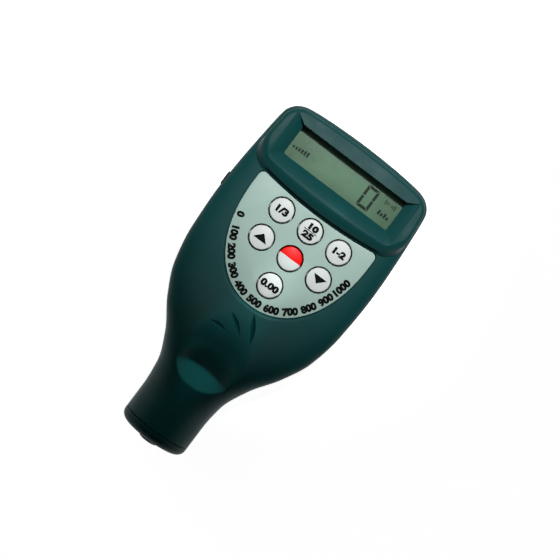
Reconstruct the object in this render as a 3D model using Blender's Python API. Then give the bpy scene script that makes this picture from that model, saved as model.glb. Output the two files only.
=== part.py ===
"""A hand-held coating thickness gauge that lies on its back.

The frame has +Z out of the display face and +Y from the probe to the display end, and its origin
lies under the middle of the housing. Lengths are in metres.
"""

import math

import bmesh
import bpy
from mathutils import Matrix, Vector

# Clearances
GAP = 0.0003
SHADOW_GAP = 0.0003
SEAM = 0.0003
OVERLAP = 0.0006
REACH = 0.0040

# Housing
BAY_TO_NOSE = 0.0669
BOSS_ROOM = 0.00145
NECK_DIAMETER = 0.0256
NECK_LIFT = 0.0007
WALL = 0.0020
END_CORNER = 0.0060
END_FILLET = 0.0040
END_ARCH = 0.0022
HEAD_SQUARENESS = 6.0
SEGMENTS_OVER = 16
SEGMENTS_INSIDE = 10
KEY_SEGMENTS = 16
SECTION_PITCH = 0.0064
SECTION_PITCH_INSIDE = 0.0110

# Plan of the housing: share of the length from the nose, share of the way from neck to head width
PLAN_STATIONS = (
    (0.115, 0.000),
    (0.190, 0.044),
    (0.273, 0.252),
    (0.356, 0.592),
    (0.439, 0.834),
    (0.549, 0.962),
    (0.680, 0.998),
    (0.907, 0.918),
    (1.000, 0.845),
)
SHOULDER_START = 0.127
SHOULDER_END = 0.500

# Stack between the back and the face
DOOR_THICKNESS = 0.0016
CELL_DIAMETER = 0.0105
CELL_LENGTH = 0.0445
CELL_NUB_DIAMETER = 0.0038
CELL_NUB_LENGTH = 0.0008
CELL_COUNT = 4
BAY_ROOF = 0.0012
BAY_WALL = 0.0015
BOARD_THICKNESS = 0.0012
SWITCH_WIDTH = 0.0060
SWITCH_HEIGHT = 0.0020
PLUNGER_DIAMETER = 0.0034
PLUNGER_RISE = 0.0007
PLUNGER_DEPTH = 0.0011
KEY_TRAVEL = 0.0004
KEY_STEM_DIAMETER = 0.0030
KEY_STEM_LENGTH = 0.0004
KEY_FLANGE = 0.0006
KEY_FLANGE_RIM = 0.0011
PANEL_WALL = 0.0018
FACEPLATE_THICKNESS = 0.0006
FACEPLATE_SINK = 0.0006
KEY_RISE = 0.0005

# Battery bay and door
BAY_END_SET = 0.0090
CONTACT_THICKNESS = 0.0004
CONTACT_WIDTH = 0.0080
CONTACT_HEIGHT = 0.0076
CONTACT_SPRING_LENGTH = 0.0032
CONTACT_SPRING_WIRE = 0.0004
CELL_SPACING = 0.0005
DOOR_FLANGE = 0.0007
DOOR_FLANGE_THICKNESS = 0.0008
DOOR_GRIP_COUNT = 5
DOOR_GRIP_PITCH = 0.0022
DOOR_GRIP_DEPTH = 0.0005
DOOR_GRIP_WIDTH = 0.0160
DOOR_GRIP_SET = 0.0090

# Display hood, measured from the display end
HOOD_HEIGHT = 0.0037
HOOD_FALL = 0.0016
HOOD_END_SET = 0.0026
HOOD_RIDGE_SET = 0.0255
HOOD_FOOT_SET = 0.0292
HOOD_BOW = 0.0033
HOOD_BOW_START = 0.53
HOOD_BOW_FULL = 0.87
HOOD_SIDE_SET = 0.0020
HOOD_FOOT_IN = 0.0009
HOOD_CORNER = 0.0068
HOOD_FILLET = 0.0011
FUNNEL_SIDE_SET = 0.0050
FUNNEL_LOW_SET = 0.0236
FUNNEL_CORNER = 0.0022
FUNNEL_SLOPE = 0.0060
WINDOW_HEIGHT = 0.0115
WINDOW_SET = 0.0076
WINDOW_CORNER = 0.0008
WINDOW_LIP = 0.0005
LENS_RIM = 0.0010
LENS_THICKNESS = 0.0014
LCD_RIM = 0.0023
LCD_THICKNESS = 0.0024
LCD_LEDGE = 0.0011
LCD_FRAME_WALL = 0.0012
ZEBRA_WIDTH = 0.0016
ZEBRA_SET = 0.0016

# Faceplate and keys, measured from the display end
FACEPLATE_SIDE_SET = 0.00825
FACEPLATE_SHIFT = 0.0003
FACEPLATE_TOP_SET = 0.0277
FACEPLATE_FLANK = 0.0046
FACEPLATE_LENGTH = 0.0392
FACEPLATE_DIP = 0.0016
FACEPLATE_CORNER = 0.0018
FACEPLATE_POWER = 2.15
KEY_DIAMETER = 0.0083
KEY_CROWN = 0.0003
KEY_EDGE = 0.0004
KEY_SHIFT = 0.0015
KEY_TOP_SET = 0.0070
KEY_COLUMN_PITCH = 0.0120
KEY_ROW_PITCH = 0.0114

# Thumb scoop and grooves, measured from the nose
SCOOP_FROM_NOSE = 0.0354
SCOOP_LENGTH = 0.0220
SCOOP_WIDTH = 0.0220
SCOOP_DEPTH = 0.0070
SCOOP_BOTTOM_Z = 0.0205
GROOVE_DEPTH = 0.0009
GROOVE_WIDTH = 0.0012
GROOVE_LEAST_FULLNESS = 0.25

# Each groove's start and end: share of the neck's radius across, share of the way from the
# faceplate's tip down to the scoop
GROOVES = (
    ((-0.625, 0.970), (0.010, 1.000)),
    ((-0.250, 0.460), (0.328, 0.930)),
    ((0.266, 0.150), (0.605, 0.850)),
)

# Fasteners
SCREW_DIAMETER = 0.0022
SCREW_HEAD_DIAMETER = 0.0042
SCREW_HEAD_HEIGHT = 0.0016
SCREW_BOSS_DIAMETER = 0.0056
SCREW_SEAT_DEPTH = 0.0070
SCREW_REACH = 0.0050
SCREW_HIGH_SET = 0.0285
SCREW_LOW_SET = 0.0750
SCREW_LOW_INSET = 0.0110
BOARD_SCREW_DIAMETER = 0.0018
BOARD_SCREW_HEAD_DIAMETER = 0.0036
BOARD_SCREW_HEAD_HEIGHT = 0.0012
BOARD_SCREW_LENGTH = 0.0042
BOARD_BOSS_DIAMETER = 0.0042
BOARD_SCREW_X = 0.0195
BOARD_SCREW_FROM_BAY = 0.0053
BOARD_SCREW_EDGE = 0.0030

# Board
BOARD_SIDE_SET = 0.0098
BOARD_TONGUE_WIDTH = 0.0240
BOARD_END_SET = 0.0035
BOARD_TONGUE_LENGTH = 0.0160
CHIP_SIDE = 0.0090
CHIP_HEIGHT = 0.0014
CHIP_FROM_TAIL = 0.0080
PLUG_WIDTH = 0.0080
PLUG_LENGTH = 0.0045
PLUG_HEIGHT = 0.0026
PORT_SET = 0.0372
PORT_LENGTH = 0.0053
PORT_HEIGHT = 0.0036
PORT_PROUD = 0.0003
PORT_DEPTH = 0.0024
PORT_CORNER = 0.0010
JACK_LENGTH = 0.0108
JACK_HOLE_DIAMETER = 0.0022
JACK_HOLE_DEPTH = 0.0060

# Nose and probe, measured from the contact face
SLEEVE_PROUD = 0.0020
SLEEVE_DIAMETER = 0.0074
SLEEVE_WALL = 0.0010
SLEEVE_LENGTH = 0.0160
SLEEVE_BEVEL = 0.0005
SLEEVE_NOTCH = 0.0010
COLLAR_DIAMETER = 0.0100
COLLAR_LENGTH = 0.0008
NOSE_LENGTH = 0.0039
NOSE_FILLET = 0.0027
NOSE_WALL = 0.0016
SPIGOT_LENGTH = 0.0010
BARREL_LENGTH = 0.0145
BARREL_DIAMETER = 0.0180
BARREL_END_WALL = 0.0012
BARREL_FLANGE = 0.0016
BARREL_COUNTERBORE = 0.0021
SPRING_WIRE_DIAMETER = 0.0005
SPRING_TURNS = 3
TIP_DIAMETER = 0.0022
TIP_LENGTH = 0.0008
TIP_SET = 0.0001
CORE_DIAMETER = 0.0016
CORE_HEAD = 0.0016
BOBBIN_WALL = 0.0004
BOBBIN_FLANGE = 0.0006
LEAD_DIAMETER = 0.0014

# Derived sizes: four cells side by side set the width, and a cell's length sets the bay's
BAY_HALF = (CELL_COUNT * CELL_DIAMETER + (CELL_COUNT - 1) * CELL_SPACING) / 2 + GAP
BAY_LENGTH = CELL_LENGTH + CONTACT_SPRING_LENGTH + 2 * CONTACT_THICKNESS + 4 * GAP
BODY_LENGTH = BAY_END_SET + BAY_LENGTH + BAY_TO_NOSE
SCREW_HIGH_X = BAY_HALF + BAY_WALL + SCREW_BOSS_DIAMETER / 2
HEAD_RADIUS = SCREW_HIGH_X + SCREW_BOSS_DIAMETER / 2 + BOSS_ROOM + WALL
FUNNEL_WIDTH = 2 * (HEAD_RADIUS - FUNNEL_SIDE_SET)
WINDOW_WIDTH = FUNNEL_WIDTH - 2 * FUNNEL_SLOPE
LCD_WIDTH = WINDOW_WIDTH + 2 * LCD_RIM
LCD_HEIGHT = WINDOW_HEIGHT + 2 * LCD_RIM
FACEPLATE_WIDTH = 2 * (HEAD_RADIUS - FACEPLATE_SIDE_SET)
BOARD_WIDTH = 2 * (HEAD_RADIUS - BOARD_SIDE_SET)

# Derived places
DISPLAY_END = BODY_LENGTH / 2
NOSE_END = -BODY_LENGTH / 2
NECK_RADIUS = NECK_DIAMETER / 2
AXIS_Z = NECK_RADIUS + NECK_LIFT
CELL_Z = DOOR_THICKNESS + GAP + CELL_DIAMETER / 2
BAY_CEILING_Z = CELL_Z + CELL_DIAMETER / 2 + GAP
BAY_ROOF_Z = BAY_CEILING_Z + BAY_ROOF
BOARD_Z = BAY_ROOF_Z + GAP
BOARD_TOP_Z = BOARD_Z + BOARD_THICKNESS
ON_BOARD_Z = BOARD_TOP_Z + GAP
SWITCH_TOP_Z = ON_BOARD_Z + SWITCH_HEIGHT
PLUNGER_TOP_Z = SWITCH_TOP_Z + PLUNGER_RISE
STEM_Z = PLUNGER_TOP_Z + GAP
KEY_FLANGE_Z = STEM_Z + KEY_STEM_LENGTH
PANEL_UNDER_Z = KEY_FLANGE_Z + KEY_FLANGE + GAP
RECESS_Z = PANEL_UNDER_Z + PANEL_WALL
FACEPLATE_Z = RECESS_Z + GAP
FACEPLATE_TOP_Z = FACEPLATE_Z + FACEPLATE_THICKNESS
HEAD_Z = FACEPLATE_TOP_Z + FACEPLATE_SINK
KEY_TOP_Z = FACEPLATE_TOP_Z + KEY_RISE
CREST_Z = HEAD_Z + HOOD_HEIGHT
CEILING_Z = HEAD_Z - WALL
BAY_HIGH = DISPLAY_END - BAY_END_SET
BAY_LOW = BAY_HIGH - BAY_LENGTH
DOOR_HALF = BAY_HALF
DOOR_LOW = BAY_LOW - BAY_WALL
BOARD_SCREW_Y = DOOR_LOW - BOARD_SCREW_FROM_BAY
BOARD_STEP_Y = BOARD_SCREW_Y - BOARD_SCREW_EDGE
BOARD_TAIL_Y = BOARD_STEP_Y - BOARD_TONGUE_LENGTH
WINDOW_Y = DISPLAY_END - WINDOW_SET - WINDOW_HEIGHT / 2
FACEPLATE_TOP_Y = DISPLAY_END - FACEPLATE_TOP_SET
FACEPLATE_TIP_Y = FACEPLATE_TOP_Y - FACEPLATE_LENGTH
SCOOP_Y = NOSE_END + SCOOP_FROM_NOSE
LENS_Z = CEILING_Z + GAP / 2
LENS_TOP_Z = LENS_Z + LENS_THICKNESS
LIP_Z = LENS_TOP_Z + GAP
FUNNEL_Z = LIP_Z + WINDOW_LIP
LCD_TOP_Z = LENS_Z - GAP
LCD_Z = LCD_TOP_Z - LCD_THICKNESS
CASE_NOSE = NOSE_END + SLEEVE_PROUD + NOSE_LENGTH + SHADOW_GAP
CAP_REAR = CASE_NOSE - SHADOW_GAP
SPIGOT_REAR = CAP_REAR + SPIGOT_LENGTH
BARREL_FRONT = SPIGOT_REAR + GAP
BARREL_REAR = BARREL_FRONT + BARREL_LENGTH
SLEEVE_RADIUS = SLEEVE_DIAMETER / 2
GUIDE_RADIUS = SLEEVE_RADIUS + GAP
SLEEVE_REAR = NOSE_END + SLEEVE_LENGTH
INNER_NECK_RADIUS = NECK_RADIUS - WALL
PORT_Y = DISPLAY_END - PORT_SET
PORT_Z = ON_BOARD_Z + PORT_HEIGHT / 2


def clear_scene():
    for existing in list(bpy.data.objects):
        bpy.data.objects.remove(existing, do_unlink=True)


def finish_of(name, colour, roughness, metallic=0.0):
    """A plain finish: colour as linear RGB."""
    finish = bpy.data.materials.new(name)
    finish.use_nodes = True
    shader = finish.node_tree.nodes["Principled BSDF"]
    shader.inputs["Base Color"].default_value = (*colour, 1.0)
    shader.inputs["Roughness"].default_value = roughness
    shader.inputs["Metallic"].default_value = metallic
    return finish


# Meshes


def object_of(name, bm, finish=None):
    """Puts a bmesh in the scene as a smooth-shaded object with outward faces."""
    bmesh.ops.recalc_face_normals(bm, faces=bm.faces)
    mesh = bpy.data.meshes.new(name)
    bm.to_mesh(mesh)
    bm.free()
    mesh.shade_smooth()
    mesh.set_sharp_from_angle(angle=math.radians(35))
    made = bpy.data.objects.new(name, mesh)
    bpy.context.scene.collection.objects.link(made)
    if finish:
        mesh.materials.append(finish)
    return made


def loft(name, rings, finish=None):
    """A closed body through rings with equal numbers of points."""
    bm = bmesh.new()
    rows = [[bm.verts.new(point) for point in ring] for ring in rings]
    count = len(rings[0])
    for low, high in zip(rows, rows[1:]):
        for i in range(count):
            j = (i + 1) % count
            bm.faces.new((low[i], low[j], high[j], high[i]))
    for cap in (rows[0], rows[-1]):
        face = bm.faces.new(cap)
        face.normal_update()
        bmesh.ops.triangulate(bm, faces=[face])
    return object_of(name, bm, finish)


def prism(name, outline, low, high, finish=None):
    """An outline in plan, raised between two heights."""
    return loft(name, [[(x, y, z) for x, y in outline] for z in (low, high)], finish)


def block(name, x_range, y_range, z_range, finish=None):
    (x0, x1), (y0, y1) = x_range, y_range
    return prism(name, [(x0, y0), (x1, y0), (x1, y1), (x0, y1)], *z_range, finish)


def turned(name, profile, place, axis="Z", segments=24, finish=None):
    """A closed (radius, height) profile turned about a line through place."""
    bm = bmesh.new()
    rows = []
    for radius, height in profile:
        steps = segments if radius > 0 else 1
        row = []
        for k in range(steps):
            angle = math.tau * k / segments
            across = Vector((radius * math.cos(angle), radius * math.sin(angle)))
            if axis == "Z":
                spot = Vector((across.x, across.y, height))
            else:
                spot = Vector((across.x, height, across.y))
            row.append(bm.verts.new(spot + Vector(place)))
        rows.append(row)
    for near, far in zip(rows, rows[1:] + rows[:1]):
        if len(near) == 1 and len(far) == 1:
            continue
        for k in range(segments):
            j = (k + 1) % segments
            corners = [near[k % len(near)], near[j % len(near)], far[j % len(far)], far[k % len(far)]]
            bm.faces.new(list(dict.fromkeys(corners)))
    return object_of(name, bm, finish)


def tube(name, path, radius, sides, finish=None):
    """A round wire along a path of points."""
    points = [Vector(point) for point in path]
    rings = []
    across = Vector((0, 0, 1))
    for i, point in enumerate(points):
        ahead = points[min(i + 1, len(points) - 1)] - points[max(i - 1, 0)]
        ahead.normalize()
        side = ahead.cross(across).normalized()
        across = side.cross(ahead).normalized()
        turn = [math.tau * k / sides for k in range(sides)]
        rings.append([point + radius * (side * math.cos(a) + across * math.sin(a)) for a in turn])
    return loft(name, rings, finish)


def ellipsoid(name, place, radii, finish=None):
    bm = bmesh.new()
    size = Matrix.Diagonal((*radii, 1.0))
    where = Matrix.Translation(place) @ size
    bmesh.ops.create_uvsphere(bm, u_segments=22, v_segments=14, radius=1.0, matrix=where)
    return object_of(name, bm, finish)


def rounded(corners, steps=4):
    """An outline with each corner (x, y, radius) rounded, in the order given."""
    outline = []
    for i, (x, y, radius) in enumerate(corners):
        corner = Vector((x, y))
        before = (Vector(corners[i - 1][:2]) - corner).normalized()
        after = (Vector(corners[(i + 1) % len(corners)][:2]) - corner).normalized()
        half = before.angle(after) / 2
        centre = corner + (before + after).normalized() * radius / math.sin(half)
        reach = radius / math.tan(half)
        start = corner + before * reach - centre
        sweep = start.angle_signed(corner + after * reach - centre)
        for k in range(steps + 1):
            turn = Matrix.Rotation(-sweep * k / steps, 2)
            outline.append(tuple(centre + turn @ start))
    return outline


def rectangle(x_centre, y_centre, width, height, corner, steps=3):
    x0, x1 = x_centre - width / 2, x_centre + width / 2
    y0, y1 = y_centre - height / 2, y_centre + height / 2
    return rounded([(x0, y0, corner), (x1, y0, corner), (x1, y1, corner), (x0, y1, corner)], steps)


def circle(x, y, radius, segments):
    turn = [math.tau * k / segments for k in range(segments)]
    return [(x + radius * math.cos(a), y + radius * math.sin(a)) for a in turn]


def joined(name, pieces):
    """Several separate bodies as one object, for use as one cutter."""
    bm = bmesh.new()
    for piece in pieces:
        bm.from_mesh(piece.data)
        bpy.data.objects.remove(piece)
    return object_of(name, bm)


def boolean(target, tool, operation):
    step = target.modifiers.new(tool.name, "BOOLEAN")
    step.object = tool
    step.operation = operation
    step.solver = "EXACT"
    tool.hide_render = True
    tool.display_type = "WIRE"


def cut(target, *tools):
    for tool in tools:
        boolean(target, tool, "DIFFERENCE")


def add(target, *tools):
    for tool in tools:
        boolean(target, tool, "UNION")


def stand_at(piece, place):
    """Moves a piece's origin to a place without moving its shape."""
    piece.data.transform(Matrix.Translation(-Vector(place)))
    piece.location = place
    return piece


# Form of the housing


def smooth_step(value):
    share = min(max(value, 0.0), 1.0)
    return share * share * (3 - 2 * share)


def smooth_through(stations, at):
    """A curve through (place, value) stations that never overshoots them."""
    places = [station[0] for station in stations]
    values = [station[1] for station in stations]
    if at <= places[0]:
        return values[0]
    if at >= places[-1]:
        return values[-1]
    steps = [b - a for a, b in zip(places, places[1:])]
    slopes = [(b - a) / step for a, b, step in zip(values, values[1:], steps)]
    bends = [slopes[0] if i == 0 else slopes[-1] for i in range(len(places))]
    bends[0] = 0.0
    for i in range(1, len(places) - 1):
        before, after = slopes[i - 1], slopes[i]
        flat = before * after <= 0
        bends[i] = 0.0 if flat else 2 * before * after / (before + after)
    i = max(k for k in range(len(steps)) if places[k] <= at)
    share = (at - places[i]) / steps[i]
    rise = steps[i]
    return (
        values[i] * (1 + 2 * share) * (1 - share) ** 2
        + bends[i] * rise * share * (1 - share) ** 2
        + values[i + 1] * share**2 * (3 - 2 * share)
        + bends[i + 1] * rise * share**2 * (share - 1)
    )


def half_width(y):
    along = (y - NOSE_END) / BODY_LENGTH
    return NECK_RADIUS + (HEAD_RADIUS - NECK_RADIUS) * smooth_through(PLAN_STATIONS, along)


def neckness(y):
    """0 in the head, 1 in the neck."""
    along = (y - NOSE_END) / BODY_LENGTH
    return 1 - smooth_step((along - SHOULDER_START) / (SHOULDER_END - SHOULDER_START))


def rounding(y, radius, inset):
    """What an end radius takes off at y, on a shell set in by inset."""
    into = y - (DISPLAY_END - inset - radius)
    if into <= 0:
        return 0.0
    return radius - math.sqrt(max(radius**2 - into**2, 0.0))


def arched(x, y):
    """The display end is a shallow arch, which fades out along the head."""
    fade = max(0.0, (y - DISPLAY_END / 2) / (DISPLAY_END / 2))
    return y - END_ARCH * (x / HEAD_RADIUS) ** 2 * fade**2


def section(y, side, inset, segments, seam, reach=0.0):
    """The outline of the front (side 1) or rear (side -1) shell at y."""
    neck = neckness(y)
    power = HEAD_SQUARENESS + (2.0 - HEAD_SQUARENESS) * neck
    width = half_width(y) - inset - rounding(y, END_CORNER - inset, inset)
    head = HEAD_Z - AXIS_Z if side > 0 else AXIS_Z + NECK_LIFT
    height = head + (NECK_RADIUS - head) * neck - inset - rounding(y, END_FILLET - inset, inset)
    outline = []
    for k in range(segments + 1):
        angle = math.pi * k / segments
        across, up = math.cos(angle), math.sin(angle)
        x = width * math.copysign(abs(across) ** (2 / power), across)
        rise = max(height * abs(up) ** (2 / power), seam)
        z = max(AXIS_Z + side * rise, inset if side < 0 else 0.0)
        outline.append((x, arched(x, y), z))
    if reach:
        (xa, ya, _), (xb, yb, _) = outline[0], outline[-1]
        outline.append((xb, yb, AXIS_Z - side * reach))
        outline.append((xa, ya, AXIS_Z - side * reach))
    return outline


def shell_stations(low, inset, pitch):
    """Places of the sections, closer together where the ends turn over."""
    end = DISPLAY_END - inset
    corner = END_CORNER - inset
    count = round((end - corner - low) / pitch)
    even = [low + (end - corner - low) * k / count for k in range(count + 1)]
    turn = [end - corner * (1 - math.sin(math.radians(a))) for a in (30, 52, 68, 80)]
    return even + turn + [end]


def outer_form(name, side, finish):
    """The outer form of the front (side 1) or rear (side -1) shell, down to the parting line."""
    stations = shell_stations(CASE_NOSE, 0.0, SECTION_PITCH)
    rings = [section(y, side, 0.0, SEGMENTS_OVER, SEAM / 2) for y in stations]
    return loft(name, rings, finish)


def hollow_form(name, side):
    """A cutter for the hollow of a shell, which runs out of its nose and past the parting line."""
    stations = shell_stations(CASE_NOSE - REACH, WALL, SECTION_PITCH_INSIDE)
    rings = [section(y, side, WALL, SEGMENTS_INSIDE, 0.0, REACH) for y in stations]
    return loft(name, rings)


# Front case


def hood_ring(height, ridge_y, end_set, side_set, corner, steps=5, bow_steps=6):
    """One level of the hood's outside, bowed along its lower edge and arched at its end."""
    y_end = DISPLAY_END - end_set
    half_low = half_width(ridge_y + HOOD_CORNER) - side_set
    half_high = half_width(y_end) - side_set
    corners = [
        (-half_low, ridge_y + HOOD_BOW, corner),
        (half_low, ridge_y + HOOD_BOW, corner),
        (half_high, y_end, END_CORNER),
        (-half_high, y_end, END_CORNER),
    ]
    outline = rounded(corners, steps)
    left, right = outline[steps], outline[steps + 1]
    shares = [(k + 1) / bow_steps for k in range(bow_steps - 1)]
    bow = [(left[0] + (right[0] - left[0]) * s, left[1]) for s in shares]
    outline = outline[: steps + 1] + bow + outline[steps + 1 :]
    ring = []
    for x, y in outline:
        low_part = max(0.0, (y_end - y) / (y_end - ridge_y))
        bowing = (low_part - HOOD_BOW_START) / (HOOD_BOW_FULL - HOOD_BOW_START)
        dip = HOOD_BOW * (1 - (x / half_low) ** 2) * smooth_step(bowing)
        fall = HOOD_FALL * max(0.0, (y - WINDOW_Y) / (DISPLAY_END - WINDOW_Y))
        place = y - dip
        ring.append((x, arched(x, place), height - fall * (height > HEAD_Z)))
    return ring


def hood():
    slope = (HOOD_FOOT_SET - HOOD_RIDGE_SET) / HOOD_HEIGHT
    foot_z = (AXIS_Z + HEAD_Z) / 2 + HOOD_FOOT_IN
    foot_y = DISPLAY_END - HOOD_FOOT_SET - (HEAD_Z - foot_z) * slope
    ridge_y = DISPLAY_END - HOOD_RIDGE_SET
    rings = [hood_ring(foot_z, foot_y, HOOD_FOOT_IN, HOOD_FOOT_IN, HOOD_CORNER)]
    for angle in (0, 30, 60, 90):
        turn = math.radians(angle)
        inwards = HOOD_FILLET * (1 - math.cos(turn))
        height = CREST_Z - HOOD_FILLET * (1 - math.sin(turn))
        low = ridge_y - (HOOD_FILLET - inwards) * slope
        corner = HOOD_CORNER - inwards
        sides = HOOD_SIDE_SET + inwards - HOOD_FILLET / 2
        ends = HOOD_END_SET + inwards - HOOD_FILLET / 2
        rings.append(hood_ring(height, low + inwards / 2, ends, sides, corner))
    return loft("hood_form", rings)


def funnel():
    """The window's opening and the slopes down to it, with an upright upper wall."""
    top = WINDOW_Y + WINDOW_HEIGHT / 2
    rim_low = DISPLAY_END - FUNNEL_LOW_SET
    above = CREST_Z + REACH
    grow = (above - FUNNEL_Z) / (CREST_Z - FUNNEL_Z)
    rings = []
    for z, share in ((LENS_Z, 0.0), (FUNNEL_Z, 0.0), (above, grow)):
        half = WINDOW_WIDTH / 2 + (FUNNEL_WIDTH - WINDOW_WIDTH) / 2 * share
        low = top - WINDOW_HEIGHT + (rim_low - (top - WINDOW_HEIGHT)) * share
        corner = WINDOW_CORNER + (FUNNEL_CORNER - WINDOW_CORNER) * min(share, 1.0)
        outline = rectangle(0, (low + top) / 2, 2 * half, top - low, corner)
        rings.append([(x, y, z) for x, y in outline])
    return loft("funnel_cut", rings)


def faceplate_outline(grow, steps=12):
    """The shield: bowed-in top edge, rounded corners, straight flanks and a round belly."""
    half = FACEPLATE_WIDTH / 2 + grow
    top = FACEPLATE_TOP_Y + grow
    belly = FACEPLATE_TOP_Y - FACEPLATE_FLANK
    tip = FACEPLATE_TIP_Y - grow
    corner = FACEPLATE_CORNER + grow
    outline = []
    for k in range(steps + 1):
        angle = math.pi * (1 + k / steps)
        across, down = math.cos(angle), abs(math.sin(angle))
        x = half * math.copysign(abs(across) ** (2 / FACEPLATE_POWER), across)
        outline.append((x, belly - (belly - tip) * down ** (2 / FACEPLATE_POWER)))
    for side, angles in ((1, (0, 30, 60, 90)), (-1, (90, 120, 150, 180))):
        for angle in angles:
            turn = math.radians(angle)
            x = side * (half - corner) + corner * math.cos(turn)
            y = top - corner + corner * math.sin(turn)
            outline.append((x, y))
        if side > 0:
            for share in (0.67, 0.33, 0.0, -0.33, -0.67):
                dip = FACEPLATE_DIP * (1 - share**2)
                outline.append(((half - corner) * share, top - dip))
    return [(x + FACEPLATE_SHIFT, y) for x, y in outline]


def key_places():
    """The keys' names and centres."""
    top = FACEPLATE_TOP_Y - KEY_TOP_SET
    names = (
        ("mode", "units", "substrate"),
        ("up", "power", "down"),
    )
    places = {}
    for row, row_names in enumerate(names):
        for column, name in enumerate(row_names):
            x = KEY_SHIFT + (column - 1) * KEY_COLUMN_PITCH
            places[name] = (x, top - row * KEY_ROW_PITCH)
    places["zero"] = (KEY_SHIFT, top - len(names) * KEY_ROW_PITCH)
    return places


def key_holes(name, low, high):
    radius = KEY_DIAMETER / 2 + SHADOW_GAP
    holes = []
    for key, (x, y) in key_places().items():
        holes.append(prism(f"{name}_{key}", circle(x, y, radius, KEY_SEGMENTS), low, high))
    return joined(name, holes)


def screw_places():
    high = DISPLAY_END - SCREW_HIGH_SET
    low = DISPLAY_END - SCREW_LOW_SET
    rows = ((SCREW_HIGH_X, high), (half_width(low) - SCREW_LOW_INSET, low))
    return [(side * x, y) for x, y in rows for side in (-1, 1)]


def board_screw_places():
    return [(side * BOARD_SCREW_X, BOARD_SCREW_Y) for side in (-1, 1)]


def posts(name, places, diameter, low, high, segments=12):
    """Upright round posts, as cutter or boss. Where high is None they reach into the face."""
    made = []
    for i, (x, y) in enumerate(places):
        top = face_height(x, y) - WALL / 2 if high is None else high
        made.append(prism(f"{name}_{i}", circle(x, y, diameter / 2, segments), low, top))
    return joined(name, made)


def scoop(name, grow):
    centre_z = SCOOP_BOTTOM_Z + SCOOP_DEPTH
    place = (0.0, SCOOP_Y, centre_z)
    radii = (SCOOP_WIDTH / 2 + grow, SCOOP_LENGTH / 2 + grow, SCOOP_DEPTH + grow)
    return ellipsoid(name, place, radii)


def groove_lines():
    """The fan of three grooves as (start, end) in plan, opening away from the keypad."""
    run = FACEPLATE_TIP_Y - (SCOOP_Y + SCOOP_LENGTH / 2)
    lines = []
    for ends in GROOVES:
        lines.append([(across * NECK_RADIUS, FACEPLATE_TIP_Y - down * run) for across, down in ends])
    return lines


def face_height(x, y):
    """Height of the housing's face."""
    neck = neckness(y)
    power = HEAD_SQUARENESS + (2.0 - HEAD_SQUARENESS) * neck
    head = HEAD_Z - AXIS_Z
    height = head + (NECK_RADIUS - head) * neck
    return AXIS_Z + height * (1 - abs(x / half_width(y)) ** power) ** (1 / power)


def groove_cutters():
    """Tapered keels sunk in the face along each groove line."""
    made = []
    for i, (start, end) in enumerate(groove_lines()):
        a, b = Vector(start), Vector(end)
        along = (b - a).normalized()
        across = Vector((-along.y, along.x))
        rings = []
        for k in range(7):
            share = k / 6
            centre = a.lerp(b, share)
            fullness = max(math.sin(math.pi * share) ** 0.5, GROOVE_LEAST_FULLNESS)
            half = GROOVE_WIDTH / 2 * fullness
            surface = face_height(centre.x, centre.y)
            deep = surface - GROOVE_DEPTH * fullness
            over = surface + GROOVE_DEPTH
            low, high = centre - across * half / 3, centre + across * half / 3
            wide_low, wide_high = centre - across * half * 2, centre + across * half * 2
            rings.append([(*wide_low, over), (*low, deep), (*high, deep), (*wide_high, over)])
        made.append(loft(f"groove_{i}", rings))
    return joined("groove_cut", made)


def lengthways(name, outline, y_low, y_high, finish=None):
    """An (x, z) outline raised along Y."""
    return loft(name, [[(x, y, z) for x, z in outline] for y in (y_low, y_high)], finish)


def door_profile(grow, bottom):
    """The door's section: its plate with a rail flange along each side, grown by a clearance."""
    half, rail = DOOR_HALF + grow, DOOR_HALF + DOOR_FLANGE + grow
    top = DOOR_THICKNESS + grow
    rail_z = DOOR_THICKNESS - DOOR_FLANGE_THICKNESS - grow
    return [
        (-half, bottom),
        (half, bottom),
        (half, rail_z),
        (rail, rail_z),
        (rail, top),
        (-rail, top),
        (-rail, rail_z),
        (-half, rail_z),
    ]


def port_outline(grow):
    """The data port's opening in the side wall, as (y, z)."""
    length, height = PORT_LENGTH + 2 * grow, PORT_HEIGHT + 2 * grow
    return rectangle(PORT_Y, PORT_Z, length, height, PORT_CORNER + grow, steps=2)


def across_wall(name, outline, x_low, x_high, finish=None):
    """A (y, z) outline raised along X."""
    return loft(name, [[(x, y, z) for y, z in outline] for x in (x_low, x_high)], finish)


def behind_window(name, half_x, half_y, top):
    """A cutter centred behind the window, open towards the parting line."""
    y_range = (WINDOW_Y - half_y, WINDOW_Y + half_y)
    return block(name, (-half_x, half_x), y_range, (AXIS_Z + GAP, top))


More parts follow.
